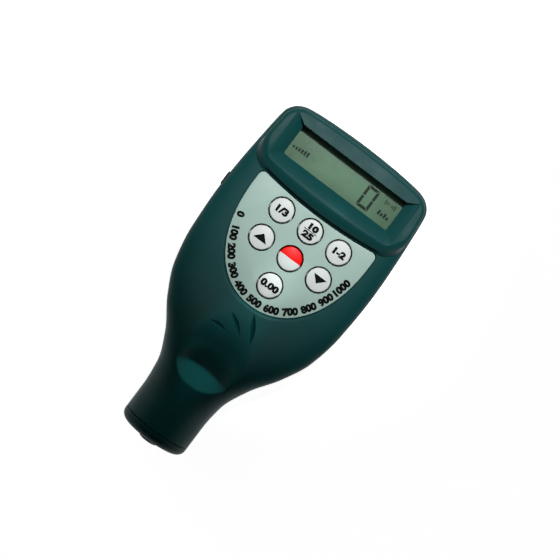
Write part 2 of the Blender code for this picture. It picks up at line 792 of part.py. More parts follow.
def front_case(finish):
    case = outer_form("front_case", 1, finish)
    add(case, hood())
    cavity = hollow_form("front_cavity", 1)
    cut(cavity, scoop("scoop_backing", WALL))
    cut(case, cavity)
    add(case, prism("keypad_panel", faceplate_outline(WALL), PANEL_UNDER_Z, RECESS_Z + GAP))
    seam_z = AXIS_Z + SEAM / 2
    add(case, posts("case_posts", screw_places(), SCREW_BOSS_DIAMETER, seam_z, None))
    add(case, posts("board_posts", board_screw_places(), BOARD_BOSS_DIAMETER, ON_BOARD_Z, None))
    well = LCD_FRAME_WALL + 2 * GAP
    seat = LENS_RIM + GAP
    cut(
        case,
        behind_window("display_well", LCD_WIDTH / 2 + well, LCD_HEIGHT / 2 + well, LENS_Z),
        behind_window("lens_seat", WINDOW_WIDTH / 2 + seat, WINDOW_HEIGHT / 2 + seat, LIP_Z),
        funnel(),
    )
    cut(case, prism("faceplate_recess", faceplate_outline(GAP), RECESS_Z, CREST_Z + REACH))
    cut(case, key_holes("panel_holes", PANEL_UNDER_Z - OVERLAP, CREST_Z))
    pilot = SCREW_DIAMETER + 2 * GAP
    pilot_top = seam_z + SCREW_REACH + GAP
    cut(case, posts("case_pilots", screw_places(), pilot, AXIS_Z - REACH, pilot_top))
    board_pilot = BOARD_SCREW_DIAMETER + 2 * GAP
    board_pilot_top = BOARD_Z + BOARD_SCREW_LENGTH
    cut(case, posts("board_pilots", board_screw_places(), board_pilot, AXIS_Z, board_pilot_top))
    port_x = (-HEAD_RADIUS - REACH, -HEAD_RADIUS + WALL + REACH)
    cut(case, across_wall("port_cut", port_outline(SHADOW_GAP), *port_x))
    cut(case, scoop("scoop_cut", 0.0), groove_cutters())
    return case


# Rear case


def rear_case(finish):
    case = outer_form("rear_case", -1, finish)
    cut(case, hollow_form("rear_cavity", -1))
    bay_x = BAY_HALF + BAY_WALL
    bay_y = (BAY_LOW - BAY_WALL, BAY_HIGH + BAY_WALL)
    add(case, block("bay_block", (-bay_x, bay_x), bay_y, (WALL / 2, BAY_ROOF_Z)))
    seam_z = AXIS_Z - SEAM / 2
    add(case, posts("rear_posts", screw_places(), SCREW_BOSS_DIAMETER, WALL / 2, seam_z))
    bay = block("bay_cut", (-BAY_HALF, BAY_HALF), (BAY_LOW, BAY_HIGH), (-REACH, BAY_CEILING_Z))
    slot_y = (DOOR_LOW - GAP, DISPLAY_END + REACH)
    cut(case, bay, lengthways("door_slot", door_profile(GAP, -REACH), *slot_y))
    head = SCREW_HEAD_DIAMETER + 2 * GAP
    shank = SCREW_DIAMETER + 2 * GAP
    cut(case, posts("head_holes", screw_places(), head, -REACH, SCREW_SEAT_DEPTH))
    cut(case, posts("shank_holes", screw_places(), shank, -REACH, AXIS_Z + REACH))
    return case


def battery_door(finish):
    """The rear form clipped to the door's plan, with a rail flange along each side."""
    door = outer_form("battery_door", -1, finish)
    plan = lengthways("door_plan", door_profile(0.0, -REACH), DOOR_LOW, DISPLAY_END + REACH)
    boolean(door, plan, "INTERSECT")
    grips = []
    high = DISPLAY_END - DOOR_GRIP_SET
    for k in range(DOOR_GRIP_COUNT):
        y = high - k * DOOR_GRIP_PITCH
        half = DOOR_GRIP_WIDTH / 2
        across = (y - DOOR_GRIP_PITCH / 4, y + DOOR_GRIP_PITCH / 4)
        grips.append(block(f"grip_{k}", (-half, half), across, (-REACH, DOOR_GRIP_DEPTH)))
    cut(door, joined("grip_cut", grips))
    return stand_at(door, (0.0, DOOR_LOW, 0.0))


# Face


def keypad_faceplate(finish):
    plate = prism("keypad_faceplate", faceplate_outline(0.0), FACEPLATE_Z, FACEPLATE_TOP_Z, finish)
    cut(plate, key_holes("faceplate_holes", RECESS_Z, CREST_Z))
    return plate


def key_cap(name, place, finish):
    """A round key with a domed face, a retaining flange and a stem over its switch."""
    radius = KEY_DIAMETER / 2
    flange = radius + KEY_FLANGE_RIM
    stem = KEY_STEM_DIAMETER / 2
    flange_top = KEY_FLANGE_Z + KEY_FLANGE
    profile = [
        (0.0, STEM_Z),
        (stem, STEM_Z),
        (stem, KEY_FLANGE_Z),
        (flange, KEY_FLANGE_Z),
        (flange, flange_top),
        (radius, flange_top),
        (radius, KEY_TOP_Z - KEY_CROWN - KEY_EDGE),
        (radius - KEY_EDGE, KEY_TOP_Z - KEY_CROWN),
        (radius / 2, KEY_TOP_Z - KEY_CROWN / 4),
        (0.0, KEY_TOP_Z),
    ]
    made = turned(name, profile, (*place, 0.0), segments=KEY_SEGMENTS, finish=finish)
    return stand_at(made, (*place, STEM_Z))


def display_window(finish):
    width = WINDOW_WIDTH + 2 * LENS_RIM
    height = WINDOW_HEIGHT + 2 * LENS_RIM
    outline = rectangle(0, WINDOW_Y, width, height, WINDOW_CORNER)
    return prism("display_window", outline, LENS_Z, LENS_TOP_Z, finish)


def lcd_pieces(glass, plastic, rubber):
    half_x, half_y = LCD_WIDTH / 2, LCD_HEIGHT / 2
    inside_x, inside_y = half_x + GAP, half_y + GAP
    wall_x, wall_y = inside_x + LCD_FRAME_WALL, inside_y + LCD_FRAME_WALL
    y_low, y_high = WINDOW_Y - half_y, WINDOW_Y + half_y
    block("lcd_panel", (-half_x, half_x), (y_low, y_high), (LCD_Z, LCD_TOP_Z), glass)
    outside_y = (WINDOW_Y - wall_y, WINDOW_Y + wall_y)
    inside = (WINDOW_Y - inside_y, WINDOW_Y + inside_y)
    frame = block("lcd_frame", (-wall_x, wall_x), outside_y, (ON_BOARD_Z, LCD_TOP_Z), plastic)
    cut(frame, block("lcd_seat", (-inside_x, inside_x), inside, (LCD_Z - GAP, LCD_TOP_Z + REACH)))
    ledge_x = inside_x - LCD_LEDGE
    cut(frame, block("lcd_through", (-ledge_x, ledge_x), inside, (BOARD_Z, LCD_TOP_Z)))
    for name, side in (("zebra_strip_upper", 1), ("zebra_strip_lower", -1)):
        middle = WINDOW_Y + side * (half_y - ZEBRA_SET)
        across = (middle - ZEBRA_WIDTH / 2, middle + ZEBRA_WIDTH / 2)
        half = ledge_x - GAP
        block(name, (-half, half), across, (ON_BOARD_Z, LCD_Z - GAP), rubber)


def port_cover(finish):
    face = -half_width(PORT_Y) - PORT_PROUD
    return across_wall("port_cover", port_outline(0.0), face, face + PORT_DEPTH, finish)


# Board


def main_board(finish):
    half, tongue = BOARD_WIDTH / 2, BOARD_TONGUE_WIDTH / 2
    end = DISPLAY_END - BOARD_END_SET
    step, tail = BOARD_STEP_Y, BOARD_TAIL_Y
    outline = [(-half, end), (-half, step), (-tongue, step), (-tongue, tail)]
    outline += [(tongue, tail), (tongue, step), (half, step), (half, end)]
    board = prism("main_board", outline, BOARD_Z, BOARD_TOP_Z, finish)
    hole = BOARD_SCREW_DIAMETER + 2 * GAP
    cut(board, posts("board_holes", board_screw_places(), hole, AXIS_Z - REACH, CREST_Z))
    return board


def board_parts(plastic, dark):
    half = CHIP_SIDE / 2
    chip_low = BOARD_TAIL_Y + CHIP_FROM_TAIL
    chip_z = (ON_BOARD_Z, ON_BOARD_Z + CHIP_HEIGHT)
    block("microcontroller", (-half, half), (chip_low, chip_low + CHIP_SIDE), chip_z, dark)
    half = PLUG_WIDTH / 2
    plug_y = (BOARD_TAIL_Y + GAP, BOARD_TAIL_Y + GAP + PLUG_LENGTH)
    plug_z = (ON_BOARD_Z, ON_BOARD_Z + PLUG_HEIGHT)
    block("probe_connector", (-half, half), plug_y, plug_z, plastic)
    near = PORT_DEPTH + GAP - PORT_PROUD - half_width(PORT_Y)
    jack = across_wall("data_jack", port_outline(0.0), near, near + JACK_LENGTH, dark)
    hole = circle(PORT_Y, PORT_Z, JACK_HOLE_DIAMETER / 2, 12)
    cut(jack, across_wall("jack_hole", hole, near - REACH, near + JACK_HOLE_DEPTH))


def push_switch(name, place, body_finish, plunger_finish):
    x, y = place
    half = SWITCH_WIDTH / 2
    hole = PLUNGER_DIAMETER / 2 + GAP
    foot = SWITCH_TOP_Z - PLUNGER_DEPTH
    floor = foot - KEY_TRAVEL - GAP / 3
    x_range, y_range = (x - half, x + half), (y - half, y + half)
    body = block(f"switch_{name}", x_range, y_range, (ON_BOARD_Z, SWITCH_TOP_Z), body_finish)
    cut(body, prism(f"switch_well_{name}", circle(x, y, hole, 10), floor, CREST_Z))
    outline = circle(x, y, PLUNGER_DIAMETER / 2, 10)
    plunger = prism(f"plunger_{name}", outline, foot, PLUNGER_TOP_Z, plunger_finish)
    stand_at(plunger, (x, y, PLUNGER_TOP_Z))


# Batteries


def cell_places():
    pitch = CELL_DIAMETER + CELL_SPACING
    return [(k - (CELL_COUNT - 1) / 2) * pitch for k in range(CELL_COUNT)]


def battery(name, x, direction, finish):
    """A cell whose nub points along direction in Y, seated on the flat contact plate."""
    seat = BAY_HIGH if direction > 0 else BAY_LOW
    nub = seat - direction * (CONTACT_THICKNESS + 2 * GAP)
    radius, nub_radius = CELL_DIAMETER / 2, CELL_NUB_DIAMETER / 2
    edge = CELL_NUB_LENGTH / 2
    shoulder = nub - direction * CELL_NUB_LENGTH
    base = nub - direction * CELL_LENGTH
    profile = [
        (0.0, nub),
        (nub_radius, nub),
        (nub_radius, shoulder),
        (radius - edge, shoulder),
        (radius, shoulder - direction * edge),
        (radius, base + direction * edge),
        (radius - edge, base),
        (0.0, base),
    ]
    return turned(name, profile, (x, 0.0, CELL_Z), axis="Y", segments=14, finish=finish)


def contact_spring(name, x, wall_y, direction, finish):
    """A conical wire spring from its plate to the flat end of a cell."""
    turns, per_turn = 2.5, 9
    count = int(turns * per_turn)
    length = CONTACT_SPRING_LENGTH - CONTACT_SPRING_WIRE / 2
    start = wall_y - direction * CONTACT_SPRING_WIRE / 4
    path = []
    for k in range(count + 1):
        share = k / count
        angle = math.tau * turns * share
        radius = CONTACT_HEIGHT / 2 * (0.85 - 0.4 * share)
        y = start + direction * length * share
        path.append((x + radius * math.cos(angle), y, CELL_Z + radius * math.sin(angle)))
    return tube(name, path, CONTACT_SPRING_WIRE / 2, 5, finish)


def battery_contact(name, high_end, plate_cells, spring_cells, finish):
    """A plate across one or two cells at one end of the bay, with a spring for each flat cell end."""
    direction = -1 if high_end else 1
    wall = (BAY_HIGH if high_end else BAY_LOW) + direction * GAP
    face = wall + direction * CONTACT_THICKNESS
    places = cell_places()
    centres = [places[k] for k in plate_cells]
    x_range = (min(centres) - CONTACT_WIDTH / 2, max(centres) + CONTACT_WIDTH / 2)
    z_range = (CELL_Z - CONTACT_HEIGHT / 2, CELL_Z + CONTACT_HEIGHT / 2)
    plate = block(name, x_range, (min(wall, face), max(wall, face)), z_range, finish)
    for k in spring_cells:
        add(plate, contact_spring(f"{name}_spring_{k}", places[k], face, direction, finish))
    return plate


def battery_set(jacket, plated):
    for k, x in enumerate(cell_places()):
        battery(f"battery_{k + 1}", x, 1 if k % 2 == 0 else -1, jacket)
    battery_contact("contact_positive", True, (0,), (), plated)
    battery_contact("contact_bridge_1", False, (0, 1), (0,), plated)
    battery_contact("contact_bridge_2", True, (1, 2), (1,), plated)
    battery_contact("contact_bridge_3", False, (2, 3), (2,), plated)
    battery_contact("contact_negative", True, (3,), (3,), plated)


# Fasteners


def screw(name, place, seat_z, head, head_height, shank, length, finish):
    """A pan-head screw driven upwards, with a cross slot in its head."""
    x, y = place
    head_r, shank_r = head / 2, shank / 2
    profile = [
        (0.0, seat_z - head_height),
        (head_r * 0.7, seat_z - head_height),
        (head_r, seat_z - head_height / 2),
        (head_r, seat_z),
        (shank_r, seat_z),
        (shank_r, seat_z + length - shank_r),
        (0.0, seat_z + length),
    ]
    made = turned(name, profile, (x, y, 0.0), segments=10, finish=finish)
    arm, half = head_r * 0.55, head_r * 0.13
    bottom = seat_z - head_height
    depth = (bottom - REACH, bottom + head_height / 2)
    cross = block(f"{name}_slot", (x - arm, x + arm), (y - half, y + half), depth)
    other = block(f"{name}_slot_across", (x - half, x + half), (y - arm, y + arm), depth)
    cut(made, cross, other)
    return made


def fasteners(finish):
    seat = SCREW_SEAT_DEPTH - GAP
    length = AXIS_Z + SEAM / 2 + SCREW_REACH - seat
    head = (SCREW_HEAD_DIAMETER, SCREW_HEAD_HEIGHT)
    for i, place in enumerate(screw_places()):
        screw(f"case_screw_{i + 1}", place, seat, *head, SCREW_DIAMETER, length, finish)
    seat = BOARD_Z - GAP
    head = (BOARD_SCREW_HEAD_DIAMETER, BOARD_SCREW_HEAD_HEIGHT)
    shank = (BOARD_SCREW_DIAMETER, BOARD_SCREW_LENGTH)
    for i, place in enumerate(board_screw_places()):
        screw(f"board_screw_{i + 1}", place, seat, *head, *shank, finish)


# Nose and probe


def nose_cap(finish):
    """The round end of the neck: a moulded cup with a central guide bore and a spigot in the neck."""
    front = NOSE_END + SLEEVE_PROUD
    outside = NECK_RADIUS
    spigot = INNER_NECK_RADIUS - GAP
    guide = GUIDE_RADIUS + NOSE_WALL
    profile = [(GUIDE_RADIUS, front), (outside - NOSE_FILLET, front)]
    for angle in (22, 45, 68, 90):
        turn = math.radians(angle)
        radius = outside - NOSE_FILLET * (1 - math.sin(turn))
        profile.append((radius, front + NOSE_FILLET * (1 - math.cos(turn))))
    profile += [
        (outside, CAP_REAR),
        (spigot, CAP_REAR),
        (spigot, SPIGOT_REAR),
        (spigot - NOSE_WALL, SPIGOT_REAR),
        (spigot - NOSE_WALL, front + NOSE_FILLET),
        (guide, front + NOSE_WALL),
        (guide, SPIGOT_REAR),
        (GUIDE_RADIUS, SPIGOT_REAR),
    ]
    return turned("nose_cap", profile, (0, 0, AXIS_Z), axis="Y", segments=2 * SEGMENTS_OVER, finish=finish)


def probe_barrel(finish):
    """The fixed guide, held in the neck by two flanges and closed behind the spring."""
    flange = INNER_NECK_RADIUS - GAP
    outside = BARREL_DIAMETER / 2
    counter = COLLAR_DIAMETER / 2 + GAP
    hole = LEAD_DIAMETER / 2 + GAP
    rear_flange = BARREL_REAR - 3 * BARREL_FLANGE
    profile = [
        (counter, BARREL_FRONT),
        (flange, BARREL_FRONT),
        (flange, BARREL_FRONT + BARREL_FLANGE),
        (outside, BARREL_FRONT + BARREL_FLANGE),
        (outside, rear_flange),
        (flange, rear_flange),
        (flange, rear_flange + BARREL_FLANGE),
        (outside, rear_flange + BARREL_FLANGE),
        (outside, BARREL_REAR),
        (hole, BARREL_REAR),
        (hole, BARREL_REAR - BARREL_END_WALL),
        (GUIDE_RADIUS, BARREL_REAR - BARREL_END_WALL),
        (GUIDE_RADIUS, BARREL_FRONT + BARREL_COUNTERBORE),
        (counter, BARREL_FRONT + BARREL_COUNTERBORE),
    ]
    return turned("probe_barrel", profile, (0, 0, AXIS_Z), axis="Y", segments=18, finish=finish)


def probe_sleeve(finish):
    """The moving sleeve: open front with a V notch across it, stop collar and rear wall."""
    inside = SLEEVE_RADIUS - SLEEVE_WALL
    collar = COLLAR_DIAMETER / 2
    collar_y = SPIGOT_REAR + GAP
    rear_hole = LEAD_DIAMETER / 2 + GAP
    profile = [
        (inside + SLEEVE_BEVEL / 2, NOSE_END),
        (SLEEVE_RADIUS - SLEEVE_BEVEL, NOSE_END),
        (SLEEVE_RADIUS, NOSE_END + SLEEVE_BEVEL),
        (SLEEVE_RADIUS, collar_y),
        (collar, collar_y),
        (collar, collar_y + COLLAR_LENGTH),
        (SLEEVE_RADIUS, collar_y + COLLAR_LENGTH),
        (SLEEVE_RADIUS, SLEEVE_REAR),
        (rear_hole, SLEEVE_REAR),
        (rear_hole, SLEEVE_REAR - SLEEVE_WALL),
        (inside, SLEEVE_REAR - SLEEVE_WALL),
        (inside, NOSE_END + SLEEVE_BEVEL),
    ]
    place = (0, 0, AXIS_Z)
    sleeve = turned("probe_sleeve", profile, place, axis="Y", segments=20, finish=finish)
    notch = [(NOSE_END - SLEEVE_NOTCH, AXIS_Z - 2 * SLEEVE_NOTCH)]
    notch += [(NOSE_END + SLEEVE_NOTCH, AXIS_Z), (NOSE_END - SLEEVE_NOTCH, AXIS_Z + 2 * SLEEVE_NOTCH)]
    cut(sleeve, across_wall("notch_cut", notch, -SLEEVE_DIAMETER, SLEEVE_DIAMETER))
    return stand_at(sleeve, (0.0, NOSE_END, AXIS_Z))


def probe_inside(ferrite, plastic, copper, hard):
    """What rides inside the sleeve: wear tip, core, bobbin and coil."""
    inside = SLEEVE_RADIUS - SLEEVE_WALL - GAP
    tip_front = NOSE_END + TIP_SET
    tip_rear = tip_front + TIP_LENGTH
    tip_r, core_r = TIP_DIAMETER / 2, CORE_DIAMETER / 2
    place = (0, 0, AXIS_Z)
    tip = [(0.0, tip_front), (tip_r / 2, tip_front + TIP_LENGTH / 6), (tip_r, tip_front + TIP_LENGTH / 2)]
    tip += [(tip_r, tip_rear), (0.0, tip_rear)]
    head_rear = SLEEVE_REAR - SLEEVE_WALL - GAP
    head_front = head_rear - CORE_HEAD
    core_front = tip_rear + GAP
    core = [(0.0, core_front), (core_r, core_front), (core_r, head_front)]
    core += [(inside, head_front), (inside, head_rear), (0.0, head_rear)]
    bore = core_r + GAP
    spool = bore + BOBBIN_WALL
    bobbin_front = core_front + GAP
    bobbin_rear = head_front - GAP
    bobbin = [(bore, bobbin_front), (inside, bobbin_front), (inside, bobbin_front + BOBBIN_FLANGE)]
    bobbin += [(spool, bobbin_front + BOBBIN_FLANGE), (spool, bobbin_rear - BOBBIN_FLANGE)]
    bobbin += [(inside, bobbin_rear - BOBBIN_FLANGE), (inside, bobbin_rear), (bore, bobbin_rear)]
    coil_front = bobbin_front + BOBBIN_FLANGE + GAP
    coil_rear = bobbin_rear - BOBBIN_FLANGE - GAP
    coil_in, coil_out = spool + GAP, inside - GAP / 2
    coil = [(coil_in, coil_front), (coil_out, coil_front), (coil_out, coil_rear), (coil_in, coil_rear)]
    pieces = (
        ("probe_tip", tip, hard),
        ("probe_core", core, ferrite),
        ("probe_bobbin", bobbin, plastic),
        ("probe_coil", coil, copper),
    )
    for name, profile, finish in pieces:
        made = turned(name, profile, place, axis="Y", segments=16, finish=finish)
        stand_at(made, (0.0, NOSE_END, AXIS_Z))


def probe_spring(finish):
    """A compression spring between the sleeve's rear and the barrel's end wall."""
    low = SLEEVE_REAR + GAP + SPRING_WIRE_DIAMETER / 2
    high = BARREL_REAR - BARREL_END_WALL - GAP - SPRING_WIRE_DIAMETER / 2
    radius = SLEEVE_RADIUS - SPRING_WIRE_DIAMETER
    per_turn = 12
    count = SPRING_TURNS * per_turn
    path = []
    for k in range(count + 1):
        angle = math.tau * k / per_turn
        y = low + (high - low) * smooth_step(k / count)
        path.append((radius * math.cos(angle), y, AXIS_Z + radius * math.sin(angle)))
    return tube("probe_spring", path, SPRING_WIRE_DIAMETER / 2, 5, finish)


def probe_lead(finish):
    """The lead from the board's connector down into the barrel's rear hole."""
    start = Vector((0.0, BOARD_TAIL_Y, ON_BOARD_Z + PLUG_HEIGHT / 2))
    end = Vector((0.0, BARREL_REAR - BARREL_END_WALL / 2, AXIS_Z))
    lead = bpy.data.curves.new("probe_lead", "CURVE")
    lead.dimensions = "3D"
    lead.bevel_depth = LEAD_DIAMETER / 2
    lead.bevel_resolution = 2
    lead.use_fill_caps = True
    line = lead.splines.new("POLY")
    count = 12
    line.points.add(count)
    for k in range(count + 1):
        share = k / count
        spot = start.lerp(end, share)
        spot.z = start.z + (end.z - start.z) * smooth_step(share)
        line.points[k].co = (*spot, 1.0)
    made = bpy.data.objects.new("probe_lead", lead)
    bpy.context.scene.collection.objects.link(made)
    lead.materials.append(finish)
    return made


def build():
    clear_scene()
    housing_green = finish_of("housing_green", (0.012, 0.045, 0.048), 0.42)
    faceplate_grey = finish_of("faceplate_grey", (0.42, 0.52, 0.48), 0.35)
    key_white = finish_of("key_white", (0.72, 0.74, 0.72), 0.40)
    clear_lens = finish_of("clear_lens", (0.80, 0.86, 0.82), 0.08)
    lcd_green = finish_of("lcd_green", (0.14, 0.24, 0.15), 0.25)
    black_rubber = finish_of("black_rubber", (0.015, 0.018, 0.018), 0.70)
    black_plastic = finish_of("black_plastic", (0.020, 0.020, 0.022), 0.50)
    white_plastic = finish_of("white_plastic", (0.65, 0.65, 0.62), 0.50)
    board_green = finish_of("board_green", (0.02, 0.12, 0.05), 0.45)
    steel = finish_of("steel", (0.55, 0.56, 0.57), 0.30, 1.0)
    nickel = finish_of("nickel", (0.66, 0.64, 0.60), 0.28, 1.0)
    brass = finish_of("brass", (0.60, 0.42, 0.16), 0.32, 1.0)
    copper = finish_of("copper", (0.60, 0.26, 0.13), 0.35, 1.0)
    jacket = finish_of("cell_jacket", (0.10, 0.11, 0.13), 0.35)

    front_case(housing_green)
    rear_case(housing_green)
    battery_door(housing_green)
    nose_cap(housing_green)
    keypad_faceplate(faceplate_grey)
    display_window(clear_lens)
    lcd_pieces(lcd_green, black_plastic, black_rubber)
    port_cover(black_rubber)
    main_board(board_green)
    board_parts(white_plastic, black_plastic)
    for name, place in key_places().items():
        key_cap(f"key_{name}", place, key_white)
        push_switch(name, place, black_plastic, white_plastic)
    battery_set(jacket, nickel)
    fasteners(steel)
    probe_barrel(brass)
    probe_sleeve(black_plastic)
    probe_inside(nickel, white_plastic, copper, steel)
    probe_spring(steel)
    probe_lead(black_rubber)


build()
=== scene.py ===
"""Looks of a hand-held coating thickness gauge that lies on its back on a pale floor.

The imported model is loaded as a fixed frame. Each outer piece is made again with fine shapes and its
own finish. +Z is out of the display face, +Y runs from the probe to the display end, in metres.
"""

import math

import bmesh
import bpy
import numpy as np
from mathutils import Matrix, Vector

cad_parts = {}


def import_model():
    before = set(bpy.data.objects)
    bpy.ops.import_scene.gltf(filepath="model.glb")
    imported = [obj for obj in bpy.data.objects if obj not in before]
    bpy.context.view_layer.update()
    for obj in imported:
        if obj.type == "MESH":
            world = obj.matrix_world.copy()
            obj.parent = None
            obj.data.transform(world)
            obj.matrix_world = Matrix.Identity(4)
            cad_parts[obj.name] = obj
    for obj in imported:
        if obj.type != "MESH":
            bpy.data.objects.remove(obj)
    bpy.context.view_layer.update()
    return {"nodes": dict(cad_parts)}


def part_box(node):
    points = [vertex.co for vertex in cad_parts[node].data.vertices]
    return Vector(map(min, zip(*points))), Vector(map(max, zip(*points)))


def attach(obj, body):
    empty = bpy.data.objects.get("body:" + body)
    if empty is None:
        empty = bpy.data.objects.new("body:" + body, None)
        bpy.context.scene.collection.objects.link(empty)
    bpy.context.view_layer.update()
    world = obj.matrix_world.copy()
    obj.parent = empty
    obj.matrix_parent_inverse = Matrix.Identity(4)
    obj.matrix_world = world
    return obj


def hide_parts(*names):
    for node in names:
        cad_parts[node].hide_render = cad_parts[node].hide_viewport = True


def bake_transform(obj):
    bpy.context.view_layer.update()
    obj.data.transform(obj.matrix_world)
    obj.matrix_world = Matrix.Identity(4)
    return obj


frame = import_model()

# Clearances, and how meshes are finished
SHARP_ANGLE = math.radians(32)
MERGE = 0.000002
GAP = 0.0003
SHADOW_GAP = 0.0003
SEAM = 0.0003
OVERLAP = 0.0006
REACH = 0.0040
PRINT = 0.00003

# Housing
BODY_LENGTH = 0.1256
HEAD_RADIUS = 0.0326
NECK_RADIUS = 0.0128
AXIS_Z = 0.0135
NECK_LIFT = 0.0007
WALL = 0.0020
END_CORNER = 0.0060
END_FILLET = 0.0040
END_ARCH = 0.0022
HEAD_SQUARENESS = 6.0
HEAD_Z = 0.0233
CREST_Z = 0.0270
PLAN_STATIONS = (
    (0.115, 0.000),
    (0.190, 0.044),
    (0.273, 0.252),
    (0.356, 0.592),
    (0.439, 0.834),
    (0.549, 0.962),
    (0.680, 0.998),
    (0.907, 0.918),
    (1.000, 0.845),
)
SHOULDER_START = 0.127
SHOULDER_END = 0.500
DISPLAY_END = BODY_LENGTH / 2
NOSE_END = -BODY_LENGTH / 2
CASE_NOSE = -0.0566
CAP_REAR = -0.0569
RING_POINTS = 150
RING_PITCH = 0.0008
PARTING_POINTS = 24
END_WALL_SHARES = (0.88, 0.72, 0.54, 0.36, 0.18, 0.05)

# Display hood, from the display end
HOOD_FALL = 0.0016
HOOD_END_SET = 0.0026
HOOD_RIDGE_SET = 0.0267
HOOD_FOOT_SET = 0.0294
HOOD_BOW = 0.0033
HOOD_BOW_START = 0.53
HOOD_BOW_FULL = 0.87
HOOD_SIDE_SET = 0.0020
HOOD_FOOT_IN = 0.0009
HOOD_CORNER = 0.0068
HOOD_EDGE = 0.0014
HOOD_RIDGE_ROLL = 0.0023
FUNNEL_HALF = 0.0252
FUNNEL_LOW_SET = 0.0232
FUNNEL_CORNER = 0.0022
FUNNEL_LIFT = 0.0022
FUNNEL_ROLL = 0.0021
FUNNEL_FLARE = 0.40
FUNNEL_PLAY = 0.00002
FUNNEL_NICK = 0.000004
FUNNEL_NICK_RIM = 0.0005
WINDOW_HALF = 0.0216
WINDOW_HEIGHT = 0.0115
WINDOW_Y = 0.04945
WINDOW_CORNER = 0.0008
LENS_Z = 0.02145
LIP_Z = 0.02315
FUNNEL_Z = 0.02365
LENS_RIM = 0.0010
LCD_HALF_X = 0.0239
LCD_HALF_Y = 0.00805
LCD_TOP_Z = 0.02115
LCD_FRAME_WALL = 0.0012

# Faceplate and keys
PLATE_HALF = 0.02435
PLATE_SHIFT = 0.0003
PLATE_TOP = 0.0351
PLATE_TIP = -0.0041
PLATE_FLANK = 0.0046
PLATE_DIP = 0.0016
PLATE_CORNER = 0.0018
PLATE_POWER = 2.15
RECESS_Z = 0.0218
# How far each level of the recess's rolled edge is below the face, and outside the plate
RECESS_ROLL = (
    (0.0015, 0.0),
    (0.0005, 0.0),
    (0.0003, 0.00010),
    (0.00015, 0.00030),
    (0.00004, 0.00060),
    (-0.0001, 0.00095),
)
PLATE_Z = 0.0221
PLATE_TOP_Z = 0.0227
PANEL_UNDER_Z = 0.0200
KEY_RADIUS = 0.00415
KEY_CROWN = 0.0003
KEY_EDGE = 0.0004
KEY_TOP_Z = 0.0232
KEY_STEM = 0.0015
KEY_FLANGE = 0.0011
KEY_FOOT_Z = 0.0187
KEY_FLANGE_Z = (0.0191, 0.0197)
KEY_X = 0.0015
KEY_PITCH_X = 0.0120
KEY_ROWS = (0.0281, 0.0167, 0.0053)

# Printing: sizes in plan, and how much the figures' strokes are thickened
DIAL_INSET = 0.0021
DIAL_ENDS = (0.135, 0.868)
DIAL_HEIGHT = 0.0023
DIAL_WEIGHT = 0.00024
KEY_WEIGHT = 0.00020
KEY_NUMBERS = (("mode", "1/3", 0.0022), ("substrate", "1-2", 0.0021), ("zero", "0.00", 0.0021))
UNITS_HEIGHT = 0.0020
UNITS_SET = 0.00155
UNITS_BAR = (0.0026, 0.00013)
ARROW = (0.0026, 0.0012, 0.0015)
# Width of the painted shade ring on the plate round each key
SHADE_RING_WIDTH = 0.00022
MARK_Y = WINDOW_Y - 0.0004
MARK_GAP = 0.00006
NOUGHT_X = 0.0104
NOUGHT_HALF = (0.0024, 0.0041)
NOUGHT_BAR = 0.00100
NOUGHT_GAP = 0.00018
WAVE_X = 0.0180
WAVE_LIFT = 0.0026
WAVE_HALF = 0.00017
WAVES = ((0.0006, 0.00035), (0.0013, 0.0006), (0.0020, 0.00085))
# First x, pitch, width, lift and heights of each row of bars
BAR_ROWS = (
    (0.0158, 0.00118, 0.00082, -0.0024, (0.0017, 0.0011, 0.0017, 0.0011)),
    (-0.0206, 0.00112, 0.00074, -0.0016, (0.0008, 0.0010, 0.0012, 0.0014, 0.0016, 0.0018)),
)

# Thumb scoop and grooves
SCOOP_Y = -0.0274
SCOOP_RADII = (0.0110, 0.0110, 0.0070)
SCOOP_BOTTOM_Z = 0.0205
SCOOP_SHIFT = 0.0010
SCOOP_HALF_WIDTH = 0.0107
SCOOP_VALLEY_Y = -0.0298
SCOOP_VALLEY_BOW = 0.0024
SCOOP_TO_KEYS = 0.0125
SCOOP_TO_NOSE = 0.0056
SCOOP_DEEP = 0.0047
SCOOP_TROUGH = 0.22
SCOOP_SIDE_POWER = 2.6
SCOOP_SOFT = 0.0050
SCOOP_CRISP = 0.00025
SCOOP_SOFT_FROM = -0.0010
SCOOP_SOFT_RUN = 0.0100
SCOOP_EXTENT = 2.2
SCOOP_FINE_Y = (-0.0400, -0.0120)
SCOOP_FINE_PITCH = 0.00028

# Each groove's two ends in plan
GROOVES = (
    ((-0.0078, -0.0156), (0.0003, -0.0163)),
    ((-0.0033, -0.0094), (0.0045, -0.0157)),
    ((0.0031, -0.0055), (0.0080, -0.0155)),
)
GROOVE_WIDTH = 0.0021
GROOVE_DEPTH = 0.0015
GROOVE_SKEW = 0.35
GROOVE_BOW = 0.0003


# Finishes


def tone(red, green, blue):
    """A colour read off as 0 to 255, as linear values."""
    made = []
    for value in (red, green, blue):
        share = value / 255
        made.append(share / 12.92 if share < 0.04045 else ((share + 0.055) / 1.055) ** 2.4)
    return (*made, 1.0)


def shifted(colour, by):
    return (*[min(max(value * by, 0.0), 1.0) for value in colour[:3]], 1.0)


